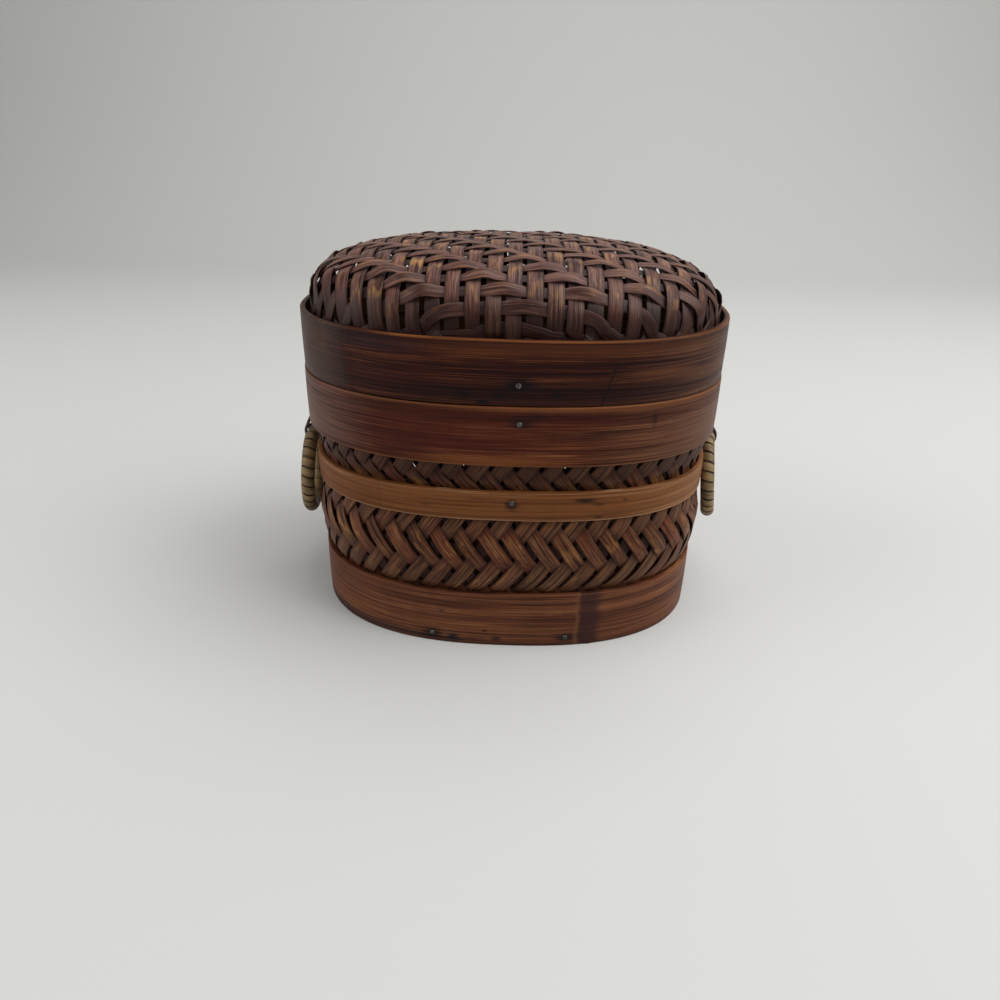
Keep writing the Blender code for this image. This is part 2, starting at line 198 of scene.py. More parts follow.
def calc(operation, *values, clamp=False):
    """A Math node fed with sockets or numbers; gives its output socket."""
    return add(tree_of(*values), "ShaderNodeMath", dict(enumerate(values)), operation=operation,
               use_clamp=clamp).outputs[0]


def vector(operation, *values):
    node = add(tree_of(*values), "ShaderNodeVectorMath", dict(enumerate(values)), operation=operation)
    return node.outputs["Value" if operation in ("DOT_PRODUCT", "LENGTH") else "Vector"]


def arithmetic(operation, swapped=False):
    """An operator for sockets. A vector times a number is scaled."""
    def operator(socket, other):
        pair = (other, socket) if swapped else (socket, other)
        if socket.type != "VECTOR":
            return calc(operation, *pair)
        if getattr(other, "type", None) == "VALUE":
            return add(socket.id_data, "ShaderNodeVectorMath", {0: socket, "Scale": other},
                       operation="SCALE").outputs["Vector"]
        return vector(operation, *pair)
    return operator


for sign, operation in {"add": "ADD", "sub": "SUBTRACT", "mul": "MULTIPLY", "truediv": "DIVIDE"}.items():
    setattr(bpy.types.NodeSocket, f"__{sign}__", arithmetic(operation))
    setattr(bpy.types.NodeSocket, f"__r{sign}__", arithmetic(operation, swapped=True))


def joined(x, y=0.0, z=0.0):
    return add(tree_of(x, y, z), "ShaderNodeCombineXYZ", {"X": x, "Y": y, "Z": z}).outputs[0]


def parts_of(value):
    return add(value.id_data, "ShaderNodeSeparateXYZ", {0: value}).outputs


def between(value, low, high, at_low=0.0, at_high=1.0):
    """A ramp from at_low, where value is low or less, to at_high, where it is high or more."""
    return add(value.id_data, "ShaderNodeMapRange", {"Value": value, "From Min": low, "From Max": high,
                                                     "To Min": at_low, "To Max": at_high}).outputs[0]


def near(value, centre, half_width, fade):
    """1 within half_width of centre, fading to 0 over fade."""
    return between(calc("ABSOLUTE", value - centre), half_width, half_width + fade, 1.0, 0.0)


def labels(**kinds):
    """{label: kind of socket} from the labels of each kind: Float="Shift, Line Width"."""
    return {label: kind for kind, words in kinds.items() for label in words.split(", ")}


def new_group(name, kind, inputs, outputs):
    """A node group from {label: kind of socket}; gives the group and its inner ends."""
    group = bpy.data.node_groups.new(name, kind)
    for way, sockets in (("INPUT", inputs), ("OUTPUT", outputs)):
        for label, socket in sockets.items():
            group.interface.new_socket(label, in_out=way, socket_type="NodeSocket" + socket)
    return group, group.nodes.new("NodeGroupInput").outputs, group.nodes.new("NodeGroupOutput")


print("helpers ready")

# %% [markdown]
# ## Finishes
#
# Split bamboo is a bundle of straight fibres under a hard skin. Two effects make it read as
# bamboo: fine fibre lines and broader bands, both long along the strip and narrow across it.
# They are one shader group, placed in every bamboo and cane material with its own sizes. Each
# strip carries a UV map in metres, along and across, so the lines follow every bend.

# %% Shader group: bamboo fibre
fibre, given, fibre_end = new_group(
    "bamboo fibre", "ShaderNodeTree",
    labels(Vector="Strip UV", Float="Shift, Line Width, Line Length, Band Width"),
    labels(Float="Lines, Bands, Height"))


def stretched_noise(uv, length, width, shift, detail, rough):
    along, across, _ = parts_of(uv)
    return add(uv.id_data, "ShaderNodeTexNoise",
               {"Vector": joined(along / length, across / width, shift), "Scale": 1.0, "Detail": detail,
                "Roughness": rough}, noise_dimensions="3D").outputs[0]


lines = stretched_noise(given["Strip UV"], given["Line Length"], given["Line Width"],
                        given["Shift"], 3.0, 0.6)
bands = stretched_noise(given["Strip UV"], given["Line Length"] * 3.0, given["Band Width"],
                        given["Shift"] + 7.3, 2.0, 0.5)
feed(fibre_end, {"Lines": between(lines, 0.385, 0.615), "Bands": between(bands, 0.37, 0.63),
                 "Height": lines + bands * 0.5})
print("group", fibre.name)

# %% [markdown]
# Handling leaves darker, greasier patches and paler rubbed ones, with no direction of their own.
# The second group gives both as masks from the object's own coordinates, so that they run on
# from one strip to the next as real soiling does.

# %% Shader group: handling
handling, given, handling_end = new_group("handling", "ShaderNodeTree", labels(Float="Patch Size, Shift"),
                                          labels(Float="Soiled, Rubbed"))
where = add(handling, "ShaderNodeTexCoord").outputs["Object"]
for label, offset, low, high in (("Soiled", 0.0, 0.48, 0.72), ("Rubbed", 31.7, 0.50, 0.76)):
    blot = add(handling, "ShaderNodeTexNoise",
               {"Vector": where + joined(given["Shift"], offset, 0.0), "Scale": 1.0 / given["Patch Size"],
                "Detail": 4.0, "Roughness": 0.6})
    feed(handling_end, {label: between(blot.outputs[0], low, high)})
print("group", handling.name)


# %% Material helpers
def new_material(name):
    made = bpy.data.materials.new(name)
    made.use_nodes = True
    return made, made.node_tree


def strip_uv(tree):
    return add(tree, "ShaderNodeUVMap", uv_map="UVMap").outputs[0]


def fibres(uv, shift, width, length, band):
    """Fibre on a strip. The width and length of its lines and the width of its bands are in mm."""
    return add(uv.id_data, "ShaderNodeGroup", {
        "Strip UV": uv, "Shift": shift, "Line Width": width * MM, "Line Length": length * MM,
        "Band Width": band * MM}, node_tree=fibre).outputs


def handled(tree, patch, shift):
    """Marks of handling; patch is their size in mm."""
    inputs = {"Patch Size": patch * MM, "Shift": shift}
    return add(tree, "ShaderNodeGroup", inputs, node_tree=handling).outputs


def metres(sizes):
    return [size * MM for size in sizes]


def mark(tree, label):
    return add(tree, "ShaderNodeAttribute", attribute_name=label).outputs["Fac"]


def coat(colour, *layers):
    """Lays each (share, paint) over a colour; paints are sockets or (red, green, blue)."""
    for share, paint in layers:
        node = add(share.id_data, "ShaderNodeMix", {"Factor": share}, data_type="RGBA")
        feed(node, {key: (*value, 1.0) if isinstance(value, tuple) else value
                    for key, value in ((6, colour), (7, paint))})
        colour = node.outputs[2]
    return colour


def darker(colour, share):
    return tuple(channel * share for channel in colour)


def surface(made, colour, roughness, relief, depth, specular=0.5, metallic=0.0):
    """Feeds a material's shader. relief is a height, and its bump is depth metres deep."""
    bump = add(made.node_tree, "ShaderNodeBump", {"Height": relief, "Distance": depth, "Strength": 1.0})
    feed(made.node_tree.nodes["Principled BSDF"], {
        "Base Color": colour, "Roughness": roughness, "Specular IOR Level": specular,
        "Metallic": metallic, "Normal": bump.outputs[0]})


print("materials so far", len(bpy.data.materials))

# %% [markdown]
# ## Hoops
#
# A hoop is one split bamboo strip bent round the box. Its ends are pared to half their thickness
# and lapped. The outer hoops lap at the back and the inner ones at the front. A sweep along the
# outline gives full control: the section is a flat strip with a slightly crowned face and
# rounded edges, the pared ends are two straight tapers, and the joints of the cane, where the
# leaf sheath once grew, stand up as low ridges across the strip.

# %% Sweep a section into a closed strip
def sweep(name, rings, along, across, edge_marks):
    """A closed mesh from rings of points. along has one length for each ring; across has one more
    entry than a ring has points. edge_marks holds a value for each point of a ring."""
    count, around = len(rings), len(rings[0])
    faces = []
    corners = []
    for i in range(count - 1):
        for j in range(around):
            k = (j + 1) % around
            faces.append((i * around + j, i * around + k, (i + 1) * around + k, (i + 1) * around + j))
            corners += [(along[i], across[j]), (along[i], across[j + 1]),
                        (along[i + 1], across[j + 1]), (along[i + 1], across[j])]
    for end, order in ((0, 1), (count - 1, -1)):
        faces.append(tuple(end * around + j for j in range(around))[::-order])
        corners += [(along[end], across[j]) for j in range(around)][::-order]
    mesh = new_mesh(name, np.asarray(rings).reshape(-1, 3).tolist(), faces)
    mesh.uv_layers.new(name="UVMap").data.foreach_set("uv", np.array(corners).ravel())
    layer = mesh.attributes.new("edge", "FLOAT", "POINT")
    layer.data.foreach_set("value", np.tile(edge_marks, count))
    work = bmesh.new()
    work.from_mesh(mesh)
    bmesh.ops.recalc_face_normals(work, faces=work.faces)
    work.to_mesh(mesh)
    work.free()
    mesh.shade_smooth()
    mesh.set_sharp_from_angle(angle=radians(50))
    return new_object(name, mesh)


# Width over which the worn, lit colour of a hoop's edge fades out: partly wear, partly a painted highlight.
EDGE_WEAR_AND_HIGHLIGHT_WIDTH = 0.35 * MM


def strip_section(soft, crown, top_wear_and_highlight=1.0, low_wear_and_highlight=0.8):
    """A flat strip's outline as (depth from 0 inside to 1 outside, more depth in metres, height
    from 0 to 1, more height in metres, edge mark). soft is the radius of its edges, crown the
    bulge of its face, and the marks say how much worn and lit colour the top and the lower edge
    get: partly wear and partly a painted highlight."""
    bends = [(soft * (1 - sin(angle)), soft * (1 - cos(angle))) for angle in (0, pi / 6, pi / 3, pi / 2)]
    points = [(1.0, -deep, 0.0, up, low_wear_and_highlight) for deep, up in bends]
    points.append((1.0, 0.0, 0.0, soft + EDGE_WEAR_AND_HIGHLIGHT_WIDTH, 0.0))
    points += [(1.0, crown * sin(pi * share), share, 0.0, 0.0) for share in (0.15, 0.35, 0.5, 0.65, 0.85)]
    points.append((1.0, 0.0, 1.0, -soft - EDGE_WEAR_AND_HIGHLIGHT_WIDTH, 0.0))
    points += [(1.0, -deep, 1.0, -down, top_wear_and_highlight) for down, deep in bends]
    # The worn, lit colour stops half way across the top face, so its inner half stays dark as painted shade
    # in the gap behind the hoop.
    points.append((0.6, 0.0, 1.0, 0.0, 0.9 * top_wear_and_highlight))
    inner = ((0.4, 1.0), (0.0, 1.0), (0.0, 0.5), (0.0, 0.0))
    return points + [(depth, 0.0, height, 0.0, 0.0) for depth, height in inner]


print("points round a strip", len(strip_section(0.4 * MM, 0.1 * MM)))

# %% Bend the hoops
CAD_FACETS = 52
FACET = PERIMETER / CAD_FACETS
LAP = 3 * FACET
PARED_GAP = 0.3 * MM
INNER_THICK = 1.4 * MM
HOOP_STEPS = 300
WOBBLE = 0.18 * MM
random = np.random.default_rng(7)


def slow_wave(distance, size):
    """A gentle unevenness round the box that closes on itself."""
    phases = random.uniform(0, 2 * pi, 3)
    return size * sum(np.sin(2 * pi * n * distance / PERIMETER + p) / n for n, p in zip((2, 3, 5), phases))


def bend_hoop(name, out, thick, lap_at, marks=(1.0, 0.8), soft=0.45 * MM, crown=0.12 * MM, ridges=(),
              sag=(0.0, 0.0)):
    """marks say how much worn and lit colour the top and the lower edge get, partly wear and partly a
    painted highlight. ridges are (place, height, width) in mm. sag is how much the strip sits low at
    the middles of the long sides, and how much more at the ends of the box."""
    low, high = heights(name)
    start = lap_at - LAP / 2
    distance = np.linspace(start, start + PERIMETER + LAP, HOOP_STEPS)
    gone = distance - start
    middle = -thick / 2
    outer = out + np.interp(gone, [LAP, LAP + FACET], [middle - PARED_GAP / 2, 0.0])
    inner = out + np.interp(gone, [PERIMETER - FACET, PERIMETER], [-thick, middle + PARED_GAP / 2])
    lift = slow_wave(distance, WOBBLE)
    knots = np.zeros(HOOP_STEPS)
    shifted = (distance - lap_at + PERIMETER / 2) % PERIMETER + lap_at - PERIMETER / 2
    for place, height, width in ridges:
        away = (shifted - place * MM + PERIMETER / 2) % PERIMETER - PERIMETER / 2
        knots += height * MM * np.exp(-(away / (width * MM)) ** 2)
    section = strip_section(soft, crown, *marks)
    rings = []
    for i, spot in enumerate(distance):
        ring = []
        for depth, depth_more, share, height_more, _ in section:
            x, y = plan(spot, inner[i] + (outer[i] - inner[i]) * depth + depth_more + knots[i] * depth)
            droop = sag[0] + sag[1] * (x / HALF_LENGTH) ** 2
            ring.append((x, y, low + (high - low) * share + height_more + lift[i] * share - droop))
        rings.append(ring)
    across = [(high - low) * share + height_more for _, _, share, height_more, _ in section]
    edge_marks = [edge_mark for *_, edge_mark in section]
    return sweep(name + "_bamboo", rings, distance - PERIMETER, across + across[:1], edge_marks)


outer_hoops = {
    "foot_hoop": (0.0, 1.9 * MM), "waist_hoop": (0.6 * MM, 1.6 * MM),
    "rim_hoop": (2.8 * MM, 1.9 * MM), "lid_hoop": (2.5 * MM, 1.9 * MM),
}
inner_hoops = {
    "foot_inner_hoop": -4.1 * MM, "waist_inner_hoop": -3.2 * MM,
    "rim_collar": -1.7 * MM, "lid_inner_hoop": -1.6 * MM,
}
HOOP_DETAILS = {
    # marks give each hoop's worn, lit edges, top and lower: partly wear, partly a painted highlight.
    "foot_hoop": {"marks": (0.4, 0.3), "ridges": [(33.5, 0.25, 1.6), (-150, 0.2, 1.5)]},
    "waist_hoop": {"marks": (0.1, 1.0), "ridges": [(-48, 0.12, 1.0)], "sag": (0.8 * MM, 1.0 * MM)},
    "rim_hoop": {"marks": (0.7, 1.0), "ridges": [(168, 0.2, 1.5)]},
    "lid_hoop": {"marks": (1.0, 0.3), "ridges": [(-58, 0.2, 1.5), (128, 0.2, 1.5)]},
}
hoops = {}
for name, (out, thick) in outer_hoops.items():
    hoops[name] = bend_hoop(name, out, thick, SIDE_MIDDLES["back"], **HOOP_DETAILS[name])
for name, out in inner_hoops.items():
    hoops[name] = bend_hoop(name, out, INNER_THICK, SIDE_MIDDLES["front"], soft=0.3 * MM, crown=0.0)
print({name: len(piece.data.polygons) for name, piece in hoops.items()})

# %% [markdown]
# The hoops were stained before they were bent on, and each took the stain in its own way: the
# lid hoop is nearly black plum, the waist strip was left golden. Their material reads the fibre
# group twice, coarse and fine, and turns the two into long streaks of three tones. Then come
# orange hairs where the skin is scratched, soiled patches, and paler edges, partly the bare cane
# of rubbed edges and partly a painted highlight. Near the box's ends a painted sheen lies over the
# lighter streaks, and one small patch on the lid hoop is a painted highlight.
# Marks that belong to one place, such as a node, a stain round a brad or a crack, are given in
# millimetres along and up the strip, as they would be measured with a tape.

# %% Hoop finish
HOOP_SPECULAR = 0.09
BLACK = (0.006, 0.004, 0.005)


def oval_patch(along, up, fibre_lines, patch):
    """A layer of paint with a ragged outline: (along, up, half length, half height, amount, paint)."""
    *sizes, amount, paint = patch
    centre, height, half_length, half_height = metres(sizes)
    far = vector("LENGTH", joined((along - centre) / half_length, (up - height) / half_height))
    return between(far + (fibre_lines - 0.5) * 0.5, 1.25, 0.45) * amount, paint


def hoop_finish(name, tones, shift, nodes=(), patches=(), cracks=(), sheen_stretches=(), edge_wear_and_highlight=0.8,
                gloss=0.34, dull_edge=None):
    """tones are the dark, plain and light streaks and the tone of the edge, which is partly worn and
    partly a painted highlight. nodes are (along, half width, fade, amount, paint), the stretches near
    the box's ends where a painted sheen lies over the lighter streaks are the same, and cracks are
    (along, up, along, up, half width, amount). dull_edge is where the edge keeps little of its worn,
    lit colour: (along, half width, fade). All their sizes are in mm."""
    dark, plain, light, worn_and_lit_tone = tones
    made, tree = new_material(name)
    uv = strip_uv(tree)
    along, up, _ = parts_of(uv)
    coarse = fibres(uv, shift, 0.75, 75, 4.5)
    fine = fibres(uv, shift + 20, 0.3, 30, 1.2)
    marks = handled(tree, 30, shift)
    tone = coarse["Lines"] * 0.30 + fine["Lines"] * 0.42 + coarse["Bands"] * 0.28
    hairs = between(fine["Lines"], 0.72, 1.0) * between(coarse["Bands"], 0.35, 0.9)
    colour = coat(dark, (between(tone, 0.12, 0.48), plain), (between(tone, 0.48, 0.88), light),
                  (hairs * 0.45, worn_and_lit_tone), (between(fine["Bands"], 0.30, 0.0) * 0.55, darker(dark, 0.5)),
                  (marks["Soiled"] * 0.45, darker(dark, 0.7)))
    # Over the stretches near the box's ends a painted sheen lies on the lighter streaks.
    pale_streaks = between(tone, 0.28, 0.66, 0.25, 1.75)
    for *band, amount, paint in sheen_stretches:
        colour = coat(colour, (near(along, *metres(band)) * amount * pale_streaks, paint))
    colour = coat(colour, *(oval_patch(along, up, coarse["Lines"], patch) for patch in patches))
    wavy = along + coarse["Bands"] * (0.7 * MM) + fine["Lines"] * (0.5 * MM)
    for *band, amount, paint in nodes:
        colour = coat(colour, (near(wavy, *metres(band)) * amount, paint))
    for *sizes, amount in cracks:
        first_along, first_up, last_along, last_up, half_width = metres(sizes)
        lean = (last_along - first_along) / (last_up - first_up)
        straight = along - (up - first_up) * lean + fine["Bands"] * (0.4 * MM)
        line = near(straight, first_along, half_width, 0.25 * MM)
        line = line * near(up, (first_up + last_up) / 2, abs(last_up - first_up) / 2, 1 * MM)
        colour = coat(colour, (line * amount, BLACK))
    # The edge's worn, lit colour: partly wear, partly a painted highlight, mostly taken away where dull_edge
    # says.
    worn_lit_edge = between(mark(tree, "edge"), 0.2, 0.95) * edge_wear_and_highlight
    if dull_edge is not None:
        worn_lit_edge = worn_lit_edge * (1.0 - near(along, *metres(dull_edge)) * 0.85)
    worn_lit_edge_streaked = worn_lit_edge * between(coarse["Lines"] + marks["Rubbed"], -0.3, 0.7)
    surface(made, coat(colour, (worn_lit_edge_streaked, worn_and_lit_tone)), gloss + fine["Lines"] * 0.16 + marks["Rubbed"] * 0.12,
            fine["Height"] + coarse["Height"] * 1.5, 0.1 * MM, specular=HOOP_SPECULAR)
    return made


print("gloss of a hoop's face", HOOP_SPECULAR)

# %% Dress the hoops
PLUM = (0.020, 0.009, 0.014)
# Partly scuffs, partly a painted grey sheen.
SCUFF_AND_SHEEN = (0.085, 0.062, 0.050)
# Painted grey sheen.
GREY_SHEEN = (0.165, 0.095, 0.075)
ORANGE = (0.19, 0.062, 0.0165)
# Painted warm sheen.
WARM_SHEEN = (0.140, 0.066, 0.036)
SOOT = (0.014, 0.006, 0.006)
TAR = (0.03, 0.012, 0.008)
RUST = (0.05, 0.018, 0.008)
WINE = (0.03, 0.009, 0.009)
INK = (0.018, 0.009, 0.007)
LID_TONES = ((0.0112, 0.0031, 0.0034), (0.031, 0.0068, 0.0046), (0.073, 0.020, 0.0092), (0.23, 0.078, 0.02))
RIM_TONES = ((0.0225, 0.0046, 0.0033), (0.066, 0.0132, 0.0062), (0.14, 0.04, 0.015), (0.31, 0.125, 0.045))
WAIST_TONES = ((0.135, 0.045, 0.0135), (0.172, 0.061, 0.018), (0.215, 0.084, 0.028), (0.48, 0.29, 0.17))
FOOT_TONES = ((0.043, 0.0128, 0.0078), (0.12, 0.038, 0.0175), (0.205, 0.077, 0.032), (0.33, 0.15, 0.06))
INNER_TONES = ((0.10, 0.045, 0.020), (0.17, 0.082, 0.036), (0.25, 0.13, 0.06), (0.34, 0.19, 0.09))

finishes = {
    "lid_hoop": hoop_finish(
        "lid hoop bamboo", LID_TONES, 1.0, dull_edge=(-72, 22, 12),
        # The grey band at -80 mm is partly scuffs and partly a painted sheen at the box's left end.
        nodes=[(-58.5, 0.2, 1.1, 0.5, BLACK), (-62.0, 0.2, 2.6, 0.35, PLUM), (-80, 12, 12, 0.40, SCUFF_AND_SHEEN),
               (128, 0.4, 0.9, 0.6, BLACK)],
        # Painted sheen near the box's right end.
        sheen_stretches=[(86, 22, 26, 0.29, WARM_SHEEN)],
        patches=[(10, 2.6, 60, 4.6, 0.60, (0.012, 0.0045, 0.005)), (-46, 18.8, 17, 2.4, 0.80, PLUM),
                 (15, 19.4, 55, 2.4, 0.45, (0.115, 0.035, 0.013)),
                 # The patch 50 mm along and 10.8 mm up is a painted highlight.
                 (50, 10.8, 14, 1.1, 0.40, (0.17, 0.062, 0.024)), (2.3, 7.4, 6.0, 3.2, 0.85, BLACK),
                 (15, 4.2, 2.4, 1.3, 0.8, BLACK), (-4, 3.6, 2.2, 1.2, 0.7, BLACK),
                 (-16, 3.8, 2.6, 1.5, 0.7, BLACK), (-9.5, 0.9, 2.6, 1.2, 0.9, BLACK)],
        cracks=[(30.3, 0.2, 34.3, 13.4, 0.16, 0.85), (-73, 22, -64, 13, 0.05, 0.6)]),
    "rim_hoop": hoop_finish(
        "rim hoop bamboo", RIM_TONES, 2.0, edge_wear_and_highlight=0.45, nodes=[(168, 0.5, 1.0, 0.6, BLACK)],
        # Painted sheen near the box's left and right ends.
        sheen_stretches=[(-84, 14, 22, 0.38, GREY_SHEEN), (90, 18, 16, 0.20, GREY_SHEEN), (68, 16, 26, 0.33, WARM_SHEEN)],
        patches=[(-24, 11, 30, 8, 0.50, (0.070, 0.011, 0.0075)), (-6, 1.9, 26, 2.2, 0.60, ORANGE),
                 (34, 21.0, 62, 1.2, 0.60, (0.18, 0.064, 0.021)),
                 (24, 11.5, 16, 1.6, 0.55, (0.022, 0.007, 0.006)), (3.6, 16.4, 4.6, 2.6, 0.75, SOOT),
                 (9, 18.6, 3.4, 1.6, 0.55, SOOT), (50, 16, 1.0, 3.0, 0.55, SOOT)]),
    "waist_hoop": hoop_finish(
        "waist strip bamboo", WAIST_TONES, 3.0, edge_wear_and_highlight=0.45, gloss=0.38,
        nodes=[(-48, 0.1, 0.6, 0.3, (0.09, 0.03, 0.012))],
        # Painted sheen near the box's right end.
        sheen_stretches=[(82, 20, 22, 0.43, (0.290, 0.142, 0.062))],
        patches=[(28, 8.4, 4.2, 1.0, 0.90, (0.022, 0.009, 0.006)),
                 (33, 6.8, 2.2, 0.7, 0.7, (0.035, 0.014, 0.008)), (43, 8.0, 1.2, 0.6, 0.6, TAR),
                 (33, 1.6, 1.8, 0.6, 0.7, TAR), (1.2, 6.5, 2.6, 2.3, 0.85, INK),
                 (-10, 8.6, 5, 0.5, 0.5, RUST), (-30, 5.2, 2, 0.5, 0.5, RUST)]),
    "foot_hoop": hoop_finish(
        "foot hoop bamboo", FOOT_TONES, 4.0, edge_wear_and_highlight=0.30,
        nodes=[(33.6, 2.6, 3.4, 0.80, (0.030, 0.012, 0.012)), (28.9, 0.1, 1.2, 0.30, (0.25, 0.115, 0.045)),
               (-150, 1.6, 1.4, 0.7, (0.030, 0.013, 0.013))],
        patches=[(-62, 1.4, 48, 3.4, 0.80, (0.024, 0.014, 0.013)), (-28.6, 3.9, 5.2, 2.6, 0.85, BLACK),
                 (-20.5, 3.0, 3.2, 2.2, 0.92, (0.008, 0.007, 0.011)),
                 (-12, 3.0, 7, 1.0, 0.6, (0.045, 0.010, 0.012)),
                 (-3.2, 3.2, 2.4, 1.2, 0.8, (0.016, 0.010, 0.008)), (-8, 6.9, 1.2, 0.8, 0.75, WINE),
                 (24.4, 3.8, 5.0, 2.2, 0.85, BLACK), (10, 0.3, 60, 1.0, 0.7, INK),
                 (-25, 15, 1.2, 0.8, 0.6, WINE)]),
}
inner_finish = hoop_finish("inner hoop bamboo", INNER_TONES, 5.0, edge_wear_and_highlight=0.4, gloss=0.45)
for name, piece in hoops.items():
    piece.data.materials.append(finishes.get(name, inner_finish))
    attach(piece, "lid" if name.startswith("lid") else "basket")
    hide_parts(name)
print("hoops dressed", len(hoops))

# %% [markdown]
# ## The plait
#
# A plait follows two rules. Strips of one set run side by side across the sheet, and strips of
# the other set cross them. Each strip goes over two and under two, one step later than its
# neighbour, which draws the slanting lines of a twill. Both sets can be laid out on a flat sheet
# of numbers and then carried onto any curved surface, so one Geometry Nodes tree makes the wall,
# the lid and the bottom. Its guide is an open surface whose UV map is the flat sheet.
#
# For a strip with number n, the level where it meets strip m of the other set is n minus m. It
# lies on top at levels 0 and 1, and underneath at levels 2 and 3, and so on round again. A
# cosine of the level, steepened so that the strip stays flat where it is on top, gives its height.
# Where the guide says that a strip is free, and not nipped behind a hoop, it also arches a little.

# %% Geometry helpers
SECTION_POINTS = 10
ATTRIBUTE_KINDS = {"VALUE": "FLOAT", "VECTOR": "FLOAT_VECTOR", "BOOLEAN": "BOOLEAN"}


def geo(tree, kind, inputs=None, **settings):
    """A Geometry Nodes node; gives its first output."""
    return add(tree, "GeometryNode" + kind, inputs, **settings).outputs[0]


def recall(tree, label, kind="FLOAT"):
    return geo(tree, "InputNamedAttribute", {"Name": label}, data_type=kind)


def store(geometry, label, value, domain="POINT", kind=None):
    inputs = {"Geometry": geometry, "Name": label, "Value": value}
    return geo(geometry.id_data, "StoreNamedAttribute", inputs, domain=domain,
               data_type=kind or ATTRIBUTE_KINDS[value.type])


def held(geometry, label, value, domain="POINT"):
    """Stores value on the geometry; gives the geometry, and the value as read back from it."""
    return (store(geometry, label, value, domain),
            recall(geometry.id_data, label, ATTRIBUTE_KINDS[value.type]))


def noise_at(x, y, seed):
    """Smooth noise, mostly between -1 and 1."""
    raw = add(x.id_data, "ShaderNodeTexNoise", {"Vector": joined(x, y, seed), "Scale": 1.0, "Detail": 1.0})
    return (raw.outputs[0] - 0.5) * 4.0


def random_between(low, high, identity, seed):
    return add(identity.id_data, "FunctionNodeRandomValue", {2: low, 3: high, "ID": identity, "Seed": seed},
               data_type="FLOAT").outputs[1]


def squared(value, power):
    """value to a power below one, with its sign kept: it pushes a circle towards a rectangle."""
    return calc("POWER", calc("ABSOLUTE", value), power) * calc("SIGN", value)


def flat_section(tree, width, thickness, width_power, thickness_power):
    """A strip's section as a curve, with the place across the strip stored on it."""
    ring = geo(tree, "CurvePrimitiveCircle", {"Resolution": SECTION_POINTS, "Radius": 1.0}, mode="RADIUS")
    angle = (geo(tree, "InputIndex") + 0.5) * (2 * pi / SECTION_POINTS)
    side = squared(calc("COSINE", angle), width_power) * (width * 0.5)
    face = squared(calc("SINE", angle), thickness_power) * (thickness * 0.5)
    section = geo(tree, "SetPosition", {"Geometry": ring, "Position": joined(face, side)})
    return store(section, "across", side)


def swept_strip(curve, facing, section, scale, marks, spare):
    """A mesh of the section carried along the curve, facing outwards. Its UV map holds the lengths
    along and across it, marks are stored on it and spare attributes removed."""
    tree = curve.id_data
    curve = store(curve, "along", add(tree, "GeometryNodeSplineParameter").outputs["Length"])
    curve = geo(tree, "SetCurveNormal", {"Curve": curve, "Normal": facing}, mode="FREE")
    mesh = geo(tree, "CurveToMesh",
               {"Curve": curve, "Profile Curve": section, "Scale": scale, "Fill Caps": True})
    mesh = store(mesh, "UVMap", joined(recall(tree, "along"), recall(tree, "across")), "CORNER", "FLOAT2")
    for label, value in marks.items():
        mesh = store(mesh, label, value)
    for label in ("along", *spare):
        mesh = geo(tree, "RemoveAttribute", {"Geometry": mesh, "Name": label})
    return geo(tree, "SetShadeSmooth", {"Geometry": mesh, "Shade Smooth": True}, domain="FACE")


def painted(geometry, material):
    real = geo(geometry.id_data, "RealizeInstances", {"Geometry": geometry})
    return geo(geometry.id_data, "SetMaterial", {"Geometry": real, "Material": material})


print("points in a splint's section", SECTION_POINTS)

# %% Tree: one set of splints
FLOAT_LEVELS = 4
SHARED_INPUTS = labels(Geometry="Guide", Vector="Flat Low, Flat Size", Float="Thickness, Rise, Stray",
                       Int="Seed")
SET_INPUTS = labels(Vector="Start, Step, Run", Int="First Number, Strips, Samples",
                    Float="Width, Arch, Edge Arch, Edge Tilt")
OTHER_INPUTS = labels(Vector="Other Start, Other Step, Other Run", Float="On Top")
splints, given, splints_end = new_group(
    "one set of splints", "GeometryNodeTree", SHARED_INPUTS | SET_INPUTS | OTHER_INPUTS,
    labels(Geometry="Splints"))
line = geo(splints, "CurvePrimitiveLine", {"Start": (0, 0, 0), "End": (1, 0, 0)})
line = geo(splints, "ResampleCurve", {"Curve": line, "Count": given["Samples"]}, mode="COUNT")
copies = add(splints, "GeometryNodeDuplicateElements", {"Geometry": line, "Amount": given["Strips"]},
             domain="SPLINE").outputs
strips, number = held(copies[0], "number", copies["Duplicate Index"] + given["First Number"], "CURVE")
strips, share = held(strips, "share", geo(splints, "SplineParameter"))


def flat_cross(first, second):
    """The cross product of two flat vectors, as a number."""
    return parts_of(vector("CROSS_PRODUCT", first, second))[2]


flat = given["Start"] + given["Step"] * number + given["Run"] * share
other = (flat_cross(flat - given["Other Start"], given["Other Run"])
         / flat_cross(given["Other Step"], given["Other Run"]))
level = (number - other) * given["On Top"]
wave = calc("COSINE", (level - 0.5) * (2 * pi / FLOAT_LEVELS))
raised = calc("TANH", wave * 3.0) * given["Rise"] * given["On Top"]
on_top = calc("MAXIMUM", wave * given["On Top"], 0.0)
which_float = calc("FLOOR", (level + 1.0) / float(FLOAT_LEVELS))
slack = calc("MAXIMUM", noise_at(number * 3.7, which_float * 5.3, 0.31) + 1.2, 0.0)

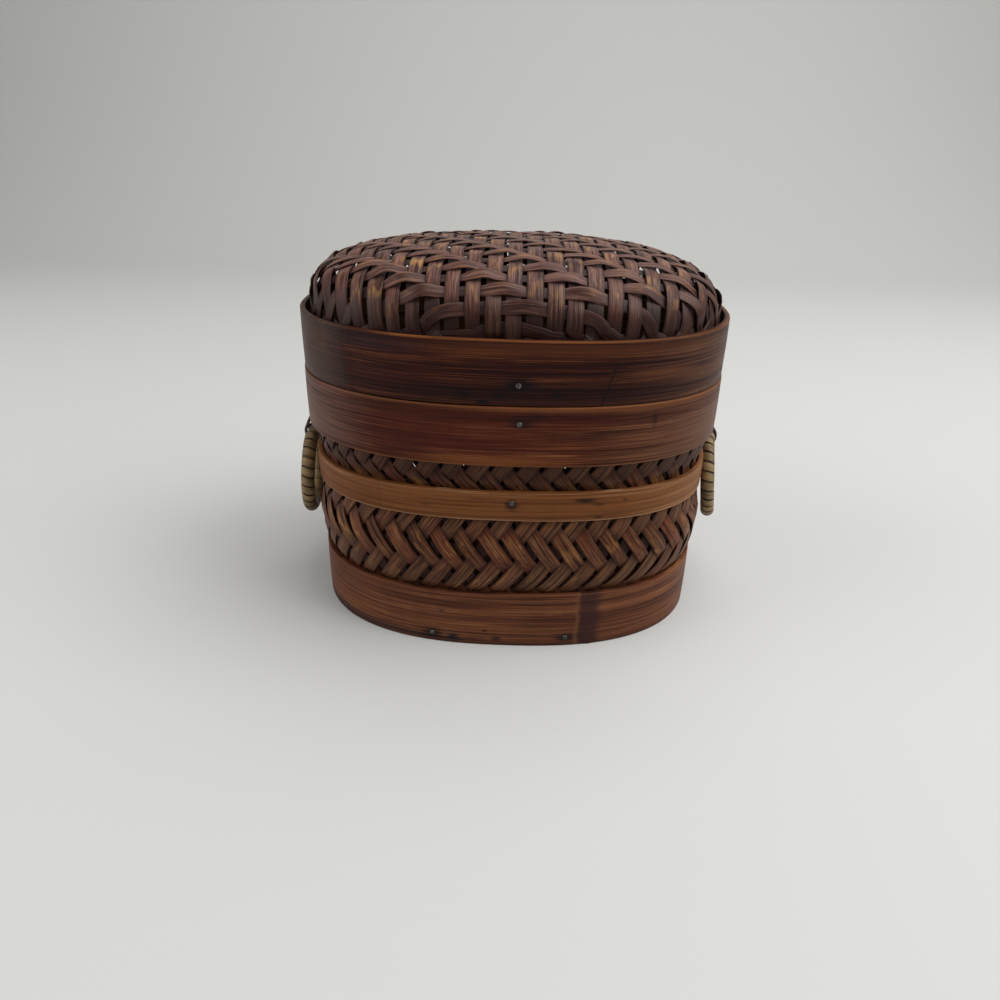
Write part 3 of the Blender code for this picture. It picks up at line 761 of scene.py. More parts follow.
seeded = given["Seed"] * 13.1
own = random_between(-1.0, 1.0, number, given["Seed"])
drift = noise_at(share * 5.0, number * 9.1, seeded)
square_way = vector("NORMALIZE", given["Step"])
flat = flat + square_way * ((own * 0.6 + drift * 0.5) * given["Stray"])
in_uv = parts_of((flat - given["Flat Low"]) / given["Flat Size"])
in_uv = joined(calc("FRACT", in_uv[0]), in_uv[1])
guide_uv = recall(splints, "sheet", "FLOAT_VECTOR")


def on_guide(value):
    """What value is on the guide, where the strip lies; gives it and whether the guide is there."""
    return add(splints, "GeometryNodeSampleUVSurface",
               {"Mesh": given["Guide"], "Value": value, "UV Map": guide_uv, "Sample UV": in_uv},
               data_type=ATTRIBUTE_KINDS[value.type]).outputs


# Towards the edge of a domed sheet a strip stands prouder, and its upper face turns to the sky.
off_strip = vector("DOT_PRODUCT", (in_uv - (0.5, 0.5, 0.0)) * (2.0, 2.0, 0.0), square_way)
near_edge = between(calc("ABSOLUTE", off_strip), 0.25, 0.72)
free = on_guide(recall(splints, "free"))[0]
loose = slack * free * (given["Arch"] + near_edge * given["Edge Arch"])
lean_over = off_strip * near_edge * given["Edge Tilt"] * free * calc("POWER", on_top, 0.5)
ground, on_sheet = on_guide(geo(splints, "InputPosition"))
facing = on_guide(geo(splints, "InputNormal"))[0]
strips = store(strips, "lift", wave * given["On Top"])
strips, on_sheet = held(strips, "on_sheet", on_sheet)
strips, lean_over = held(strips, "lean_over", lean_over)
strips, facing = held(strips, "facing", facing)
strips, height = held(strips, "height", raised + on_top * on_top * loose)
strips, ground = held(strips, "ground", ground)
off_sheet = add(splints, "FunctionNodeBooleanMath", {0: on_sheet}, operation="NOT").outputs[0]
strips = geo(splints, "DeleteGeometry", {"Geometry": strips, "Selection": off_sheet}, domain="POINT")
outwards = vector("NORMALIZE", facing)
strips = geo(splints, "SetPosition", {"Geometry": strips, "Position": ground + outwards * height})
roll = noise_at(share * 9.0, number * 4.3, seeded) * 0.05
strips = geo(splints, "SetCurveTilt", {"Curve": strips, "Tilt": roll + lean_over})
broad = 1.0 + (own * 0.09 + noise_at(share * 6.0, number * 2.9, seeded + 5.0) * 0.05)
mesh = swept_strip(
    strips, outwards, flat_section(splints, given["Width"], given["Thickness"], 0.35, 0.6), broad,
    {"splint": random_between(0.0, 1.0, number, given["Seed"] + 50), "which_set": given["On Top"]},
    ("number", "share", "on_sheet", "facing", "height", "ground", "across", "lean_over"))
feed(splints_end, {"Splints": mesh})
print("nodes in the splint tree", len(splints.nodes))

# %% [markdown]
# The plait itself is two such sets, each told about the other. The outer tree has named inputs
# for both, joins what they make, turns it into real geometry and gives it its material.

# %% Tree: the plait
plait, given_both, plait_end = new_group(
    "plait", "GeometryNodeTree",
    SHARED_INPUTS | {f"{label} {which}": kind for which in "AB" for label, kind in SET_INPUTS.items()}
    | labels(Material="Material"), labels(Geometry="Plait"))
both = add(plait, "GeometryNodeJoinGeometry")
for which, partner, on_top_sign in (("A", "B", 1.0), ("B", "A", -1.0)):
    inputs = {label: given_both[label] for label in SHARED_INPUTS}
    inputs |= {label: given_both[f"{label} {which}"] for label in SET_INPUTS}
    inputs |= {"Other " + label: given_both[f"{label} {partner}"] for label in ("Start", "Step", "Run")}
    feed(both, {0: geo(plait, "Group", inputs | {"On Top": on_top_sign}, node_tree=splints)})
feed(plait_end, {"Plait": painted(both.outputs[0], given_both["Material"])})


def baked(holder, name):
    """The finished mesh of a holder as a piece of its own; the holder is removed."""
    graph = bpy.context.evaluated_depsgraph_get()
    made = bpy.data.meshes.new_from_object(holder.evaluated_get(graph), preserve_all_data_layers=True,
                                           depsgraph=graph)
    made.name = name
    bpy.data.objects.remove(holder)
    return new_object(name, made)


def run_tree(name, mesh, tree, values):
    """Puts a tree on a mesh, sets its inputs by identifier and keeps only the finished mesh."""
    holder = new_object(name + "_guide", mesh)
    modifier = holder.modifiers.new(tree.name, "NODES")
    modifier.node_group = tree
    for item in tree.interface.items_tree:
        if item.item_type == "SOCKET" and item.in_out == "INPUT" and item.name in values:
            modifier[item.identifier] = values[item.name]
    return baked(holder, name)


def both_sets(**pairs):
    """Inputs of the two sets: Edge_Arch=(1, 2) fills Edge Arch A and Edge Arch B."""
    return {f"{label.replace('_', ' ')} {which}": value
            for label, pair in pairs.items() for which, value in zip("AB", pair)}


def triangles(piece):
    return sum(len(face.vertices) - 2 for face in piece.data.polygons)


def guide_mesh(name, points, sheet, keep=None, nipped=(), ease=1.0):
    """An open surface from a grid of points. It carries the flat sheet and how free the strips
    are: 0 at the heights where a hoop nips them, 1 from ease away from it."""
    rows, columns = points.shape[:2]
    faces = []
    for r in range(rows - 1):
        for c in range(columns - 1):
            corners = ((r, c), (r, c + 1), (r + 1, c + 1), (r + 1, c))
            if keep is None or all(keep[corner] for corner in corners):
                faces.append([row * columns + column for row, column in corners])
    mesh = new_mesh(name, points.reshape(-1, 3).tolist(), faces)
    layer = mesh.attributes.new("sheet", "FLOAT_VECTOR", "POINT")
    flat_points = np.concatenate([sheet.reshape(-1, 2), np.zeros((rows * columns, 1))], 1)
    layer.data.foreach_set("vector", flat_points.ravel().astype(np.float32))
    z = points[..., 2].ravel()
    free_share = np.ones(rows * columns)
    for low, high in nipped:
        free_share *= np.clip(np.maximum(low - z, z - high) / ease, 0, 1)
    mesh.attributes.new("free", "FLOAT", "POINT").data.foreach_set("value", free_share.astype(np.float32))
    mesh.shade_smooth()
    return mesh


print("inputs of the plait tree", len(plait.interface.items_tree))

# %% [markdown]
# ### Splint finish
#
# The splints were dyed a purple brown, and the dye has worn through to ochre on the strips that
# stand proud. Each splint carries its own random number, so no two have quite the same tone, and
# the plait tree leaves two marks: how near a point is to the middle of a stretch on top, which
# says where the wear and a painted highlight go and where painted shade falls as a strip dips
# under, and which of the two sets the strip belongs to, because the sets were split from different
# canes. Some splints have a long crack along them. Painted shade also darkens each splint's edges
# and a band next to a hoop, and a grey on what faces up is partly dust and partly a painted sheen.

# %% Splint material
def splint_finish(name, tones, gold, gold_share, other_tint, gloss, specular, dust_and_sheen, painted_shade_band, painted_edge_shade):
    """tones are deep, plain, warm and light. other_tint is what the second set leans to. The last
    three are: the share of grey on what faces up, partly dust and partly a painted sheen; the band
    of height next to a hoop that is painted darker as shade, as (middle, half height, fade, amount);
    and how far from a splint's middle line the painted shade along its edges begins and where it is
    darkest."""
    deep, plain, warm, light = tones
    made, tree = new_material(name)
    uv = strip_uv(tree)
    across = parts_of(uv)[1]
    own, lift, which_set = (mark(tree, label) for label in ("splint", "lift", "which_set"))
    second = between(which_set, 0.5, -0.5)
    shift = own * 47.0 + which_set * 5.0
    grain = fibres(uv, shift, 0.45, 16, 1.8)
    marks = handled(tree, 13, 3.0)
    red = between(calc("FRACT", own * 7.31), 0.35, 0.95)
    # Paler where a strip rides on top: a painted highlight, streaked with the grain.
    pale = between(grain["Lines"], 0.45, 1.0) * between(lift, -0.6, 0.6)
    patch = between(stretched_noise(uv, 8 * MM, 2.4 * MM, shift, 2.0, 0.55), 0.50, 0.60)
    touched = marks["Rubbed"] * 0.9 + own * 0.35
    gilded = calc("MULTIPLY", between(lift, 0.0, 0.9) * patch, touched * gold_share, clamp=True)
    crack = near(across, (own - 0.8) * (6 * MM), 0.09 * MM, 0.12 * MM) * between(own, 0.66, 0.68)
    height = parts_of(add(tree, "ShaderNodeTexCoord").outputs["Object"])[2]
    upward = parts_of(add(tree, "ShaderNodeNewGeometry").outputs["Normal"])[2]
    colour = coat(
        deep, (grain["Bands"], plain), (red * 0.75, warm), (second * 0.45, other_tint),
        (pale * 0.75, light), (gilded * (1.0 - second * 0.55), gold),
        (between(grain["Lines"], 0.45, 0.0) * 0.4, darker(deep, 0.45)),
        # Soiled patches, then painted shade where a strip dips under the other set.
        (marks["Soiled"] * 0.5, darker(deep, 0.7)), (between(lift, 0.15, -0.8) * 0.88, darker(deep, 0.6)),
        (crack * between(grain["Bands"], 0.1, 0.5), BLACK),
        # Painted shade along each splint's edges, in the gaps between strips.
        (between(calc("ABSOLUTE", across), *painted_edge_shade) * 0.7, darker(deep, 0.4)),
        # Painted shade in a band of height next to a hoop.
        (near(height, *painted_shade_band[:3]) * painted_shade_band[3], darker(deep, 0.6)),
        # Grey on what faces up: partly dust, partly a painted sheen from the light above.
        (between(upward, 0.35, 1.0) * (grain["Lines"] * dust_and_sheen), (0.34, 0.245, 0.21)))
    surface(made, colour, gloss + grain["Lines"] * 0.15, grain["Height"] - crack * 2.0, 0.09 * MM,
            specular=specular)
    return made


DOME_TONES = ((0.032, 0.0095, 0.0072), (0.112, 0.037, 0.027), (0.128, 0.034, 0.020), (0.250, 0.125, 0.088))
WALL_TONES = ((0.028, 0.0080, 0.0046), (0.108, 0.035, 0.0165), (0.130, 0.027, 0.0135), (0.215, 0.095, 0.046))
# Heights of the painted shade next to the lid hoop and under the rim hoop.
lid_top = heights("lid_hoop")[1]
under_rim = heights("rim_hoop")[0] - 4 * MM
dome_finish = splint_finish(
    "lid splints", DOME_TONES, gold=(0.42, 0.20, 0.055), gold_share=1.5, other_tint=(0.092, 0.034, 0.028),
    gloss=0.36, specular=0.19, dust_and_sheen=0.15, painted_shade_band=(lid_top, 3 * MM, 14 * MM, 0.82),
    painted_edge_shade=(1.75 * MM, 2.55 * MM))
body_finish = splint_finish(
    "wall splints", WALL_TONES, gold=(0.32, 0.15, 0.04), gold_share=1.2, other_tint=(0.08, 0.04, 0.02),
    gloss=0.40, specular=0.12, dust_and_sheen=0.08, painted_shade_band=(under_rim, 5.5 * MM, 3 * MM, 0.50),
    painted_edge_shade=(2.1 * MM, 2.9 * MM))
print("splint finishes", dome_finish.name, body_finish.name)

# %% [markdown]
# ### Wall
#
# The wall's strips lean both ways at about 56 degrees, fifty-one each way, so the two twills
# show as rows of slanting strokes that change direction like a herringbone. The wall is drawn in
# at the foot, swells between the foot hoop and the waist, and is drawn in again. The guide is
# that profile carried round the outline, at the middle of the weave's thickness. The waist strip
# has crowded the splints behind it, so the pattern sits a little lower above it than it would.

# %% Wall guide
WEAVE = 1.6 * MM
GAP = 0.3 * MM
BOTTOM_Z = 1.0 * MM
CORNER = 2.4 * MM
BULGE = 1.4 * MM
DROP_ABOVE_WAIST = 3.0 * MM
AROUND = 180
ROWS_UP = 70


def behind(hoop):
    """How far out a hoop's inner face is, less the gap behind it."""
    out, thick = outer_hoops[hoop]
    return out - thick - GAP


foot_high = heights("foot_hoop")[1]
waist_low, waist_high = heights("waist_hoop")
rim_low, rim_high = heights("rim_hoop")
foot_in, waist_in, rim_in = behind("foot_hoop"), behind("waist_hoop"), behind("rim_hoop")


def wall_profile():
    """The wall's outer face as (distance out, height), from the bottom corner to the rim."""
    rows = [(foot_in - CORNER * (1 - sin(a)), BOTTOM_Z + CORNER * (1 - cos(a)))
            for a in np.linspace(0, pi / 2, 7)]
    rows += [(foot_in, z) for z in np.linspace(BOTTOM_Z + CORNER, foot_high, 5)[1:]]
    for share in np.linspace(0, 1, 15)[1:-1]:
        base = foot_in + (waist_in - foot_in) * share
        height = foot_high + (waist_low - foot_high) * share
        rows.append((base + (BULGE - base) * sin(pi * share) ** 0.75, height))
    rows += [(waist_in, waist_low), (waist_in, waist_high), (rim_in - 0.5 * MM, waist_high + 3.0 * MM)]
    rows += [(rim_in - 0.2 * MM, rim_low - 2.0 * MM), (rim_in, rim_low + 1.0 * MM), (rim_in, rim_high - GAP)]
    return np.array(rows)


def inwards(profile, depth):
    """A profile moved to the inner side by depth."""
    direction = np.gradient(profile, axis=0)
    direction /= np.linalg.norm(direction, axis=1, keepdims=True)
    return profile + np.stack([-direction[:, 1], direction[:, 0]], 1) * depth


def eased(share):
    return share * share * (3 - 2 * share)


outer_face = wall_profile()
length_up = np.concatenate([[0], np.cumsum(np.linalg.norm(np.diff(outer_face, axis=0), axis=1))])
fine_up = np.linspace(0, length_up[-1], ROWS_UP)
profile = np.stack([np.interp(fine_up, length_up, outer_face[:, k]) for k in (0, 1)], 1)
round_box = np.linspace(0, PERIMETER, AROUND + 1)
wall_points = np.zeros((ROWS_UP, AROUND + 1, 3))
for row, (out, z) in enumerate(inwards(profile, WEAVE / 2)):
    wall_points[row, :, :2] = plan(round_box, np.full(AROUND + 1, out))
    wall_points[row, :, 2] = z
past_waist = np.clip((profile[:, 1] - waist_low) / (waist_high - waist_low), 0, 1)
flat_up = fine_up + DROP_ABOVE_WAIST * eased(past_waist)
FLAT_RUN = flat_up[-1]
wall_sheet = np.stack(np.meshgrid(round_box / PERIMETER, flat_up / FLAT_RUN), -1)
nipped = [(0.0, foot_high), (waist_low, waist_high), (rim_low, rim_high)]
wall_guide = guide_mesh("wall_guide", wall_points, wall_sheet, nipped=nipped, ease=3.5 * MM)
print("wall, mm round and up", round(PERIMETER / MM), round(length_up[-1] / MM, 1))

# %% Plait the wall
WALL_STRIPS = 51
LEAN = radians(56)
FLOAT_CENTRE_Z = 43.5 * MM
SLIDE = -2.2 * MM
SPLINT = {"Thickness": 0.55 * MM, "Rise": 0.33 * MM}
pitch = PERIMETER / WALL_STRIPS
sideways_run = FLAT_RUN / tan(LEAN)
row_height = pitch * tan(LEAN) / 2
centre_up = np.interp(FLOAT_CENTRE_Z, profile[:, 1], flat_up)
crossing_shift = (centre_up - row_height / 2) / tan(LEAN)
wall_sets = both_sets(
    Start=((SLIDE + crossing_shift, 0, 0), (SLIDE - crossing_shift, 0, 0)), Step=[(pitch, 0, 0)] * 2,
    Run=((-sideways_run, FLAT_RUN, 0), (sideways_run, FLAT_RUN, 0)), Strips=[WALL_STRIPS] * 2,
    Samples=[72] * 2, Width=(5.55 * MM, 5.75 * MM), Arch=(0.42 * MM, 0.25 * MM))
wall = run_tree("wall_plait", wall_guide, plait, SPLINT | wall_sets | {
    "Flat Size": (PERIMETER, FLAT_RUN, 1), "Stray": 0.5 * MM, "Seed": 3, "Material": body_finish})
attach(wall, "basket")
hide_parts("woven_body")
print("wall splints", 2 * WALL_STRIPS, "triangles", triangles(wall))

# %% [markdown]
# ### Lid
#
# The lid is plaited straight, with strips along and across the box. Cloth laid over a bowl would
# pucker, but splints can slide: those that run front to back come straight down the front, and
# where the corners fall away the two sets close up like scissors. Laying each set in upright
# planes does just that. The flat sheet is measured along the surface at the middle of each side,
# so the strips keep their spacing where the lid turns down behind its hoop.

# %% Lid guide
lid_low, lid_high = heights("lid_hoop")
DOME_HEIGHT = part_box("woven_dome")[1].z - lid_high
DOME_SQUARENESS = 2.5
FULLER_LEFT = 0.6
DOME_FOOT_OUT = -1.2 * MM
SKIRT_OUT = behind("lid_hoop")
SKIRT_DROP = 6.0 * MM
CONVERGE = 0.25
GRID = 1.8 * MM


def dome_rise(rho, squareness=DOME_SQUARENESS):
    return DOME_HEIGHT * np.clip(1 - rho ** squareness, 0, 1) ** (1 / squareness)


def reach_table(half):
    """How far out in plan a point lies, against its distance from the crown along the lid."""
    rho = 1 - np.linspace(1, 0, 3000) ** 2.5
    steps = np.hypot(np.diff(rho * half), np.diff(dome_rise(rho)))
    return np.concatenate([[0], np.cumsum(steps)]), rho


def reach(distance, table, half):
    far = np.abs(distance)
    lengths, rho = table
    past = np.maximum(far - lengths[-1], 0) / half
    return np.sign(distance) * (np.interp(far, lengths, rho) + past)


def oblong(x, y):
    return (np.abs(x) ** SQUARENESS + np.abs(y) ** SQUARENESS) ** (1 / SQUARENESS)


def flat_grid(half, counts):
    """The flat sheet of a straight plait: a grid of places, and the same as shares of its size."""
    x, y = np.meshgrid(*(np.linspace(-end, end, count) for end, count in zip(half, counts)))
    return x, y, np.stack([(x + half[0]) / (2 * half[0]), (y + half[1]) / (2 * half[1])], -1)


long_table, short_table = reach_table(HALF_LENGTH), reach_table(HALF_WIDTH)
LID_HALF = [table[0][-1] + (lid_high - lid_low) for table in (long_table, short_table)]
flat_x, flat_y, lid_sheet = flat_grid(LID_HALF, [round(2 * half / GRID) for half in LID_HALF])
x_share, y_share = flat_x / long_table[0][-1], flat_y / short_table[0][-1]
x_straight = reach(flat_x, long_table, HALF_LENGTH)
y_straight = reach(flat_y, short_table, HALF_WIDTH)
far = np.maximum(oblong(x_share, y_share), 1e-6)
shrink = reach(far * short_table[0][-1], short_table, HALF_WIDTH) / far
x_over = x_straight + (x_share * shrink - x_straight) * CONVERGE
y_over = y_straight + (y_share * shrink - y_straight) * CONVERGE
rho = np.maximum(oblong(x_over, y_over), 1e-6)
inside = np.minimum(rho, 1.0)
below = np.maximum(rho - 1, 0) * (HALF_LENGTH + HALF_WIDTH) / 2
spots = np.stack([x_over * HALF_LENGTH, y_over * HALF_WIDTH], -1) * (inside / rho)[..., None]
skirt_share = eased(np.clip(below / SKIRT_DROP, 0, 1))
dome_out = (DOME_FOOT_OUT + (SKIRT_OUT - DOME_FOOT_OUT) * skirt_share - WEAVE / 2) * inside
spots = spots + plan_normal(spots / inside[..., None]) * dome_out[..., None]
fuller = DOME_SQUARENESS + FULLER_LEFT * np.clip(-x_over, 0, 1) ** 2
dome_z = lid_high + dome_rise(inside, fuller) - below - WEAVE / 2 * (1 - inside ** 6)
lid_points = np.concatenate([spots, dome_z[..., None]], -1)
SKIRT_END = lid_low + 1.0 * MM
lid_guide = guide_mesh("lid_guide", lid_points, lid_sheet, keep=dome_z > SKIRT_END,
                       nipped=[(lid_low, lid_high)], ease=4.0 * MM)
print("lid, mm over the crown", [round(2 * half / MM) for half in LID_HALF])

# %% Plait the lid
ACROSS_PITCH = 6.8 * MM
ALONG_PITCH = 6.7 * MM
KNOWN_STRIP = -6.9 * MM
KNOWN_ROW = -42.1 * MM
EDGE_TILT = 0.85
EDGE_MARGIN = 3 * MM


def straight_plait(name, guide, half, known, values):
    """Two sets square to the sheet's sides. known is where strip 0 lies across and along it."""
    laid = SPLINT | values
    laid |= {"Flat Low": (-half[0], -half[1], 0), "Flat Size": (2 * half[0], 2 * half[1], 1)}
    laid |= both_sets(Start=((known[0], -half[1], 0), (-half[0], known[1], 0)),
                      Step=((ACROSS_PITCH, 0, 0), (0, -ALONG_PITCH, 0)),
                      Run=((0, 2 * half[1], 0), (2 * half[0], 0, 0)))
    for which, place, step, far in zip("AB", known, (ACROSS_PITCH, -ALONG_PITCH), half):
        low, high = sorted((end - place) / step for end in (EDGE_MARGIN - far, far - EDGE_MARGIN))
        laid[f"First Number {which}"] = int(np.ceil(low))
        laid[f"Strips {which}"] = int(np.floor(high)) - int(np.ceil(low)) + 1
    made = run_tree(name, guide, plait, laid)
    print(name, "splints", laid["Strips A"], laid["Strips B"], "triangles", triangles(made))
    return made


lid_sets = both_sets(Arch=(0.25 * MM, 0.40 * MM), Edge_Arch=(0.3 * MM, 1.0 * MM), Samples=(120, 150),
                     Edge_Tilt=(EDGE_TILT * 0.4, EDGE_TILT), Width=(5.4 * MM, 4.3 * MM))
lid_plait = straight_plait("lid_plait", lid_guide, LID_HALF, (KNOWN_STRIP, KNOWN_ROW),
                           lid_sets | {"Stray": 0.4 * MM, "Seed": 11, "Material": dome_finish})
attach(lid_plait, "lid")
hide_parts("woven_dome")

# %% [markdown]
# ### Bottom
#
# The bottom is plaited straight as well. It is flat, so its guide is a plain grid cut to the
# outline, just inside the corner where the wall begins.

# %% Plait the bottom
BOTTOM_IN = foot_in - CORNER
BOTTOM_HALF = [HALF_LENGTH + BOTTOM_IN, HALF_WIDTH + BOTTOM_IN]
flat_x, flat_y, bottom_sheet = flat_grid(BOTTOM_HALF, (80, 60))
bottom_points = np.stack([flat_x, flat_y, np.full(flat_x.shape, BOTTOM_Z + WEAVE / 2)], -1)
on_bottom = oblong(flat_x / BOTTOM_HALF[0], flat_y / BOTTOM_HALF[1]) <= 1.0
bottom_guide = guide_mesh("bottom_guide", bottom_points, bottom_sheet, keep=on_bottom)
bottom_sets = both_sets(Arch=[0.1 * MM] * 2, Samples=(60, 75), Width=(5.6 * MM, 5.4 * MM))
bottom = straight_plait("bottom_plait", bottom_guide, BOTTOM_HALF, (0.0, 0.0),
                        bottom_sets | {"Stray": 0.35 * MM, "Seed": 23, "Material": body_finish})
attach(bottom, "basket")

# %% [markdown]
# ## Brads
#
# A brad is a short nail with a domed head, driven through hoop, plait and inner hoop, its point
# bent over inside. All fourteen are alike, so a tree instances one head and one bent point on
# marked spots. Each spot carries which way the brad faces.

# %% Tree: instances on marked spots
brads, given, brads_end = new_group(
    "brads", "GeometryNodeTree", labels(Geometry="Spots", Object="Head, Point", Material="Material"),
    labels(Geometry="Brads"))
shapes = add(brads, "GeometryNodeJoinGeometry")
inner = recall(brads, "inner", "BOOLEAN")
outer = add(brads, "FunctionNodeBooleanMath", {0: inner}, operation="NOT").outputs[0]
outward = recall(brads, "outward", "FLOAT_VECTOR")
turned = add(brads, "FunctionNodeAlignRotationToVector", {"Vector": outward}, axis="Z").outputs[0]
upright = add(brads, "FunctionNodeAlignRotationToVector", {"Rotation": turned, "Vector": (0, 0, 1)},
              axis="Y", pivot_axis="Z").outputs[0]
for label, chosen in (("Head", outer), ("Point", inner)):
    shape = add(brads, "GeometryNodeObjectInfo", {"Object": given[label], "As Instance": True})
    feed(shapes, {0: geo(brads, "InstanceOnPoints", {
        "Points": given["Spots"], "Selection": chosen, "Instance": shape.outputs["Geometry"],
        "Rotation": upright})})
feed(brads_end, {"Brads": painted(shapes.outputs[0], given["Material"])})


def turned_shape(name, profile, around=14):
    """A solid of revolution about Z from (radius, height) points in mm, first and last on the axis."""
    work = bmesh.new()
    loops = []
    for radius, z in profile:
        angles = [2 * pi * k / around for k in range(around if radius else 1)]
        loops.append([work.verts.new((radius * MM * cos(a), radius * MM * sin(a), z * MM)) for a in angles])
    for first, second in zip(loops, loops[1:]):
        for k in range(around):
            after = (k + 1) % around
            corners = [first[k % len(first)], first[after % len(first)],
                       second[after % len(second)], second[k % len(second)]]
            work.faces.new(list(dict.fromkeys(corners)))
    bmesh.ops.recalc_face_normals(work, faces=work.faces)
    mesh = bpy.data.meshes.new(name)
    work.to_mesh(mesh)
    work.free()
    mesh.shade_smooth()
    return new_object(name, mesh)


HEAD_RADIUS = 1.05
SHANK_RADIUS = 0.5
dome = ((0, 0.62), (0.45, 0.60), (0.80, 0.44), (0.98, 0.18), (1, 0.0))
domed = [(share * HEAD_RADIUS, z) for share, z in dome]
shank = [(SHANK_RADIUS, -0.05), (SHANK_RADIUS, -1.2), (0, -1.2)]
bent_tip = [(0, -0.5), (SHANK_RADIUS, -0.45), (SHANK_RADIUS, 1.2), (0.35, 2.4), (0, 2.9)]
head = turned_shape("brad_head", domed + shank)
point = turned_shape("brad_point", bent_tip, around=10)
point.data.transform(Matrix.Rotation(-pi / 2, 4, "X"))
print("faces of a head and a point", len(head.data.polygons), len(point.data.polygons))

# %% Brad finish and places
steel, tree = new_material("dull steel")
spots_of = handled(tree, 0.9, 9.0)
surface(steel, coat((0.115, 0.11, 0.10), (spots_of["Soiled"], (0.030, 0.023, 0.019))),
        0.42 + spots_of["Rubbed"] * 0.25, spots_of["Rubbed"], 0.08 * MM, metallic=1.0)

HALF_WAY = PERIMETER / 2
ring_places = {side: SIDE_MIDDLES[side] for side in ("back", "left", "right")}
BRAD_ROWS = {
    "foot_brad": (4.0 * MM, 0.0, 5.5 * MM, {
        "front_left": -28.9 * MM, "front_right": 24.0 * MM, "back_left": HALF_WAY + 24.0 * MM,
        "back_right": HALF_WAY - 28.9 * MM}),
    "waist_brad": (63.8 * MM, 0.6 * MM, 5.2 * MM, {"front": 1.2 * MM, "back": HALF_WAY}),
    "rim_brad": (94.8 * MM, 2.8 * MM, 5.9 * MM, {"front": 3.0 * MM, **ring_places}),
    "lid_brad": (108.3 * MM, 2.5 * MM, 5.5 * MM, {"front": 2.3 * MM, **ring_places}),
}


def brad_spots(rows):
    """Points for heads on the outer face and bent tips on the inner one."""
    points, ways, inner_marks, nodes = [], [], [], []
    for row in rows:
        z, out, stack, places = BRAD_ROWS[row]
        for side, distance in places.items():
            nodes.append(f"{row}_{side}")
            normal = plan_normal(plan(distance))
            for depth, way in ((0.0, 1), (stack, -1)):
                points.append((*plan(distance, out - depth), z))
                ways.append((normal[0] * way, normal[1] * way, 0))
                inner_marks.append(way < 0)
    mesh = new_mesh("spots", points, [])
    mesh.attributes.new("outward", "FLOAT_VECTOR", "POINT").data.foreach_set("vector", np.ravel(ways))
    mesh.attributes.new("inner", "BOOLEAN", "POINT").data.foreach_set("value", inner_marks)
    return mesh, nodes


for name, body, rows in (("basket_brads", "basket", ("foot_brad", "waist_brad", "rim_brad")),
                         ("lid_brads", "lid", ("lid_brad",))):
    spots, nodes = brad_spots(rows)
    piece = run_tree(name, spots, brads, {"Head": head, "Point": point, "Material": steel})
    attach(piece, body)
    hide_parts(*nodes)
    print(name, len(nodes), "triangles", triangles(piece))
for tool in (head, point):
    bpy.data.objects.remove(tool)

# %% [markdown]
# ## Ring handles
#
# Each handle is a rattan ring bound with split cane, turn beside turn. The cane's path is a
# helix whose axis is itself a circle. A line of points placed by that formula, with a flat,
# crowned section carried along it, gives one unbroken strip, as on the real ring. Each ring is
# wound with its top at the origin, then hung on its hinge and turned the way the hinge lies. The
# tie is loose, so each ring also hangs a little nearer the box and leans out on its swell.

# %% Tree: cane wound on a ring
winding, given, winding_end = new_group(
    "cane winding", "GeometryNodeTree",
    labels(Geometry="Start", Float="Ring Radius, Wind Radius, Bare Angle, Cane Width, Cane Thickness",
           Int="Turns, Steps", Material="Material"), labels(Geometry="Cane"))
line = geo(winding, "CurvePrimitiveLine", {"Start": (0, 0, 0), "End": (1, 0, 0)})
count = given["Turns"] * given["Steps"] + 1.0
line = geo(winding, "ResampleCurve", {"Curve": line, "Count": count}, mode="COUNT")
share = parts_of(geo(winding, "InputPosition"))[0]
ring_angle = given["Bare Angle"] + (2 * pi - given["Bare Angle"] * 2.0) * share
tube_angle = given["Turns"] * share * (-2 * pi)
ring_cos, ring_sin, tube_cos, tube_sin = (calc(kind, angle) for angle in (ring_angle, tube_angle)
                                          for kind in ("COSINE", "SINE"))
wind = given["Wind Radius"] + noise_at(share * 40.0, 0.0, 2.0) * (0.06 * MM)
from_middle = given["Ring Radius"] + tube_cos * wind
spot = joined(tube_sin * wind, ring_sin * from_middle, ring_cos * from_middle - given["Ring Radius"])
line, facing = held(line, "facing", joined(tube_sin, ring_sin * tube_cos, ring_cos * tube_cos))
line = geo(winding, "SetPosition", {"Geometry": line, "Position": spot})
section = flat_section(winding, given["Cane Width"], given["Cane Thickness"], 0.4, 0.7)
mesh = swept_strip(line, facing, section, 1.0, {}, ("facing",))
feed(winding_end, {"Cane": painted(mesh, given["Material"])})
print("nodes in the winding tree", len(winding.nodes))

# %% Cane, rattan and tie finishes
cane, tree = new_material("split cane")
grain = fibres(strip_uv(tree), 0.5, 0.22, 10, 1.2)
marks = handled(tree, 6, 12.0)
edge_far = calc("ABSOLUTE", mark(tree, "across")) + grain["Bands"] * (0.35 * MM)
colour = coat((0.120, 0.074, 0.034), (grain["Bands"], (0.255, 0.166, 0.078)),
              (grain["Lines"] * 0.35, (0.40, 0.275, 0.140)), (marks["Rubbed"] * 0.45, (0.36, 0.215, 0.060)),
              (marks["Soiled"] * 0.75, (0.030, 0.018, 0.012)),
              (between(edge_far, 1.72 * MM, 1.92 * MM) * 0.9, (0.014, 0.009, 0.006)))
surface(cane, colour, 0.35 + grain["Lines"] * 0.2, grain["Height"], 0.1 * MM, specular=0.25)

rattan, tree = new_material("round rattan")
marks = handled(tree, 4, 15.0)
colour = coat((0.12, 0.07, 0.035), (marks["Soiled"], (0.03, 0.018, 0.012)))
surface(rattan, colour, 0.6, marks["Rubbed"], 0.1 * MM)

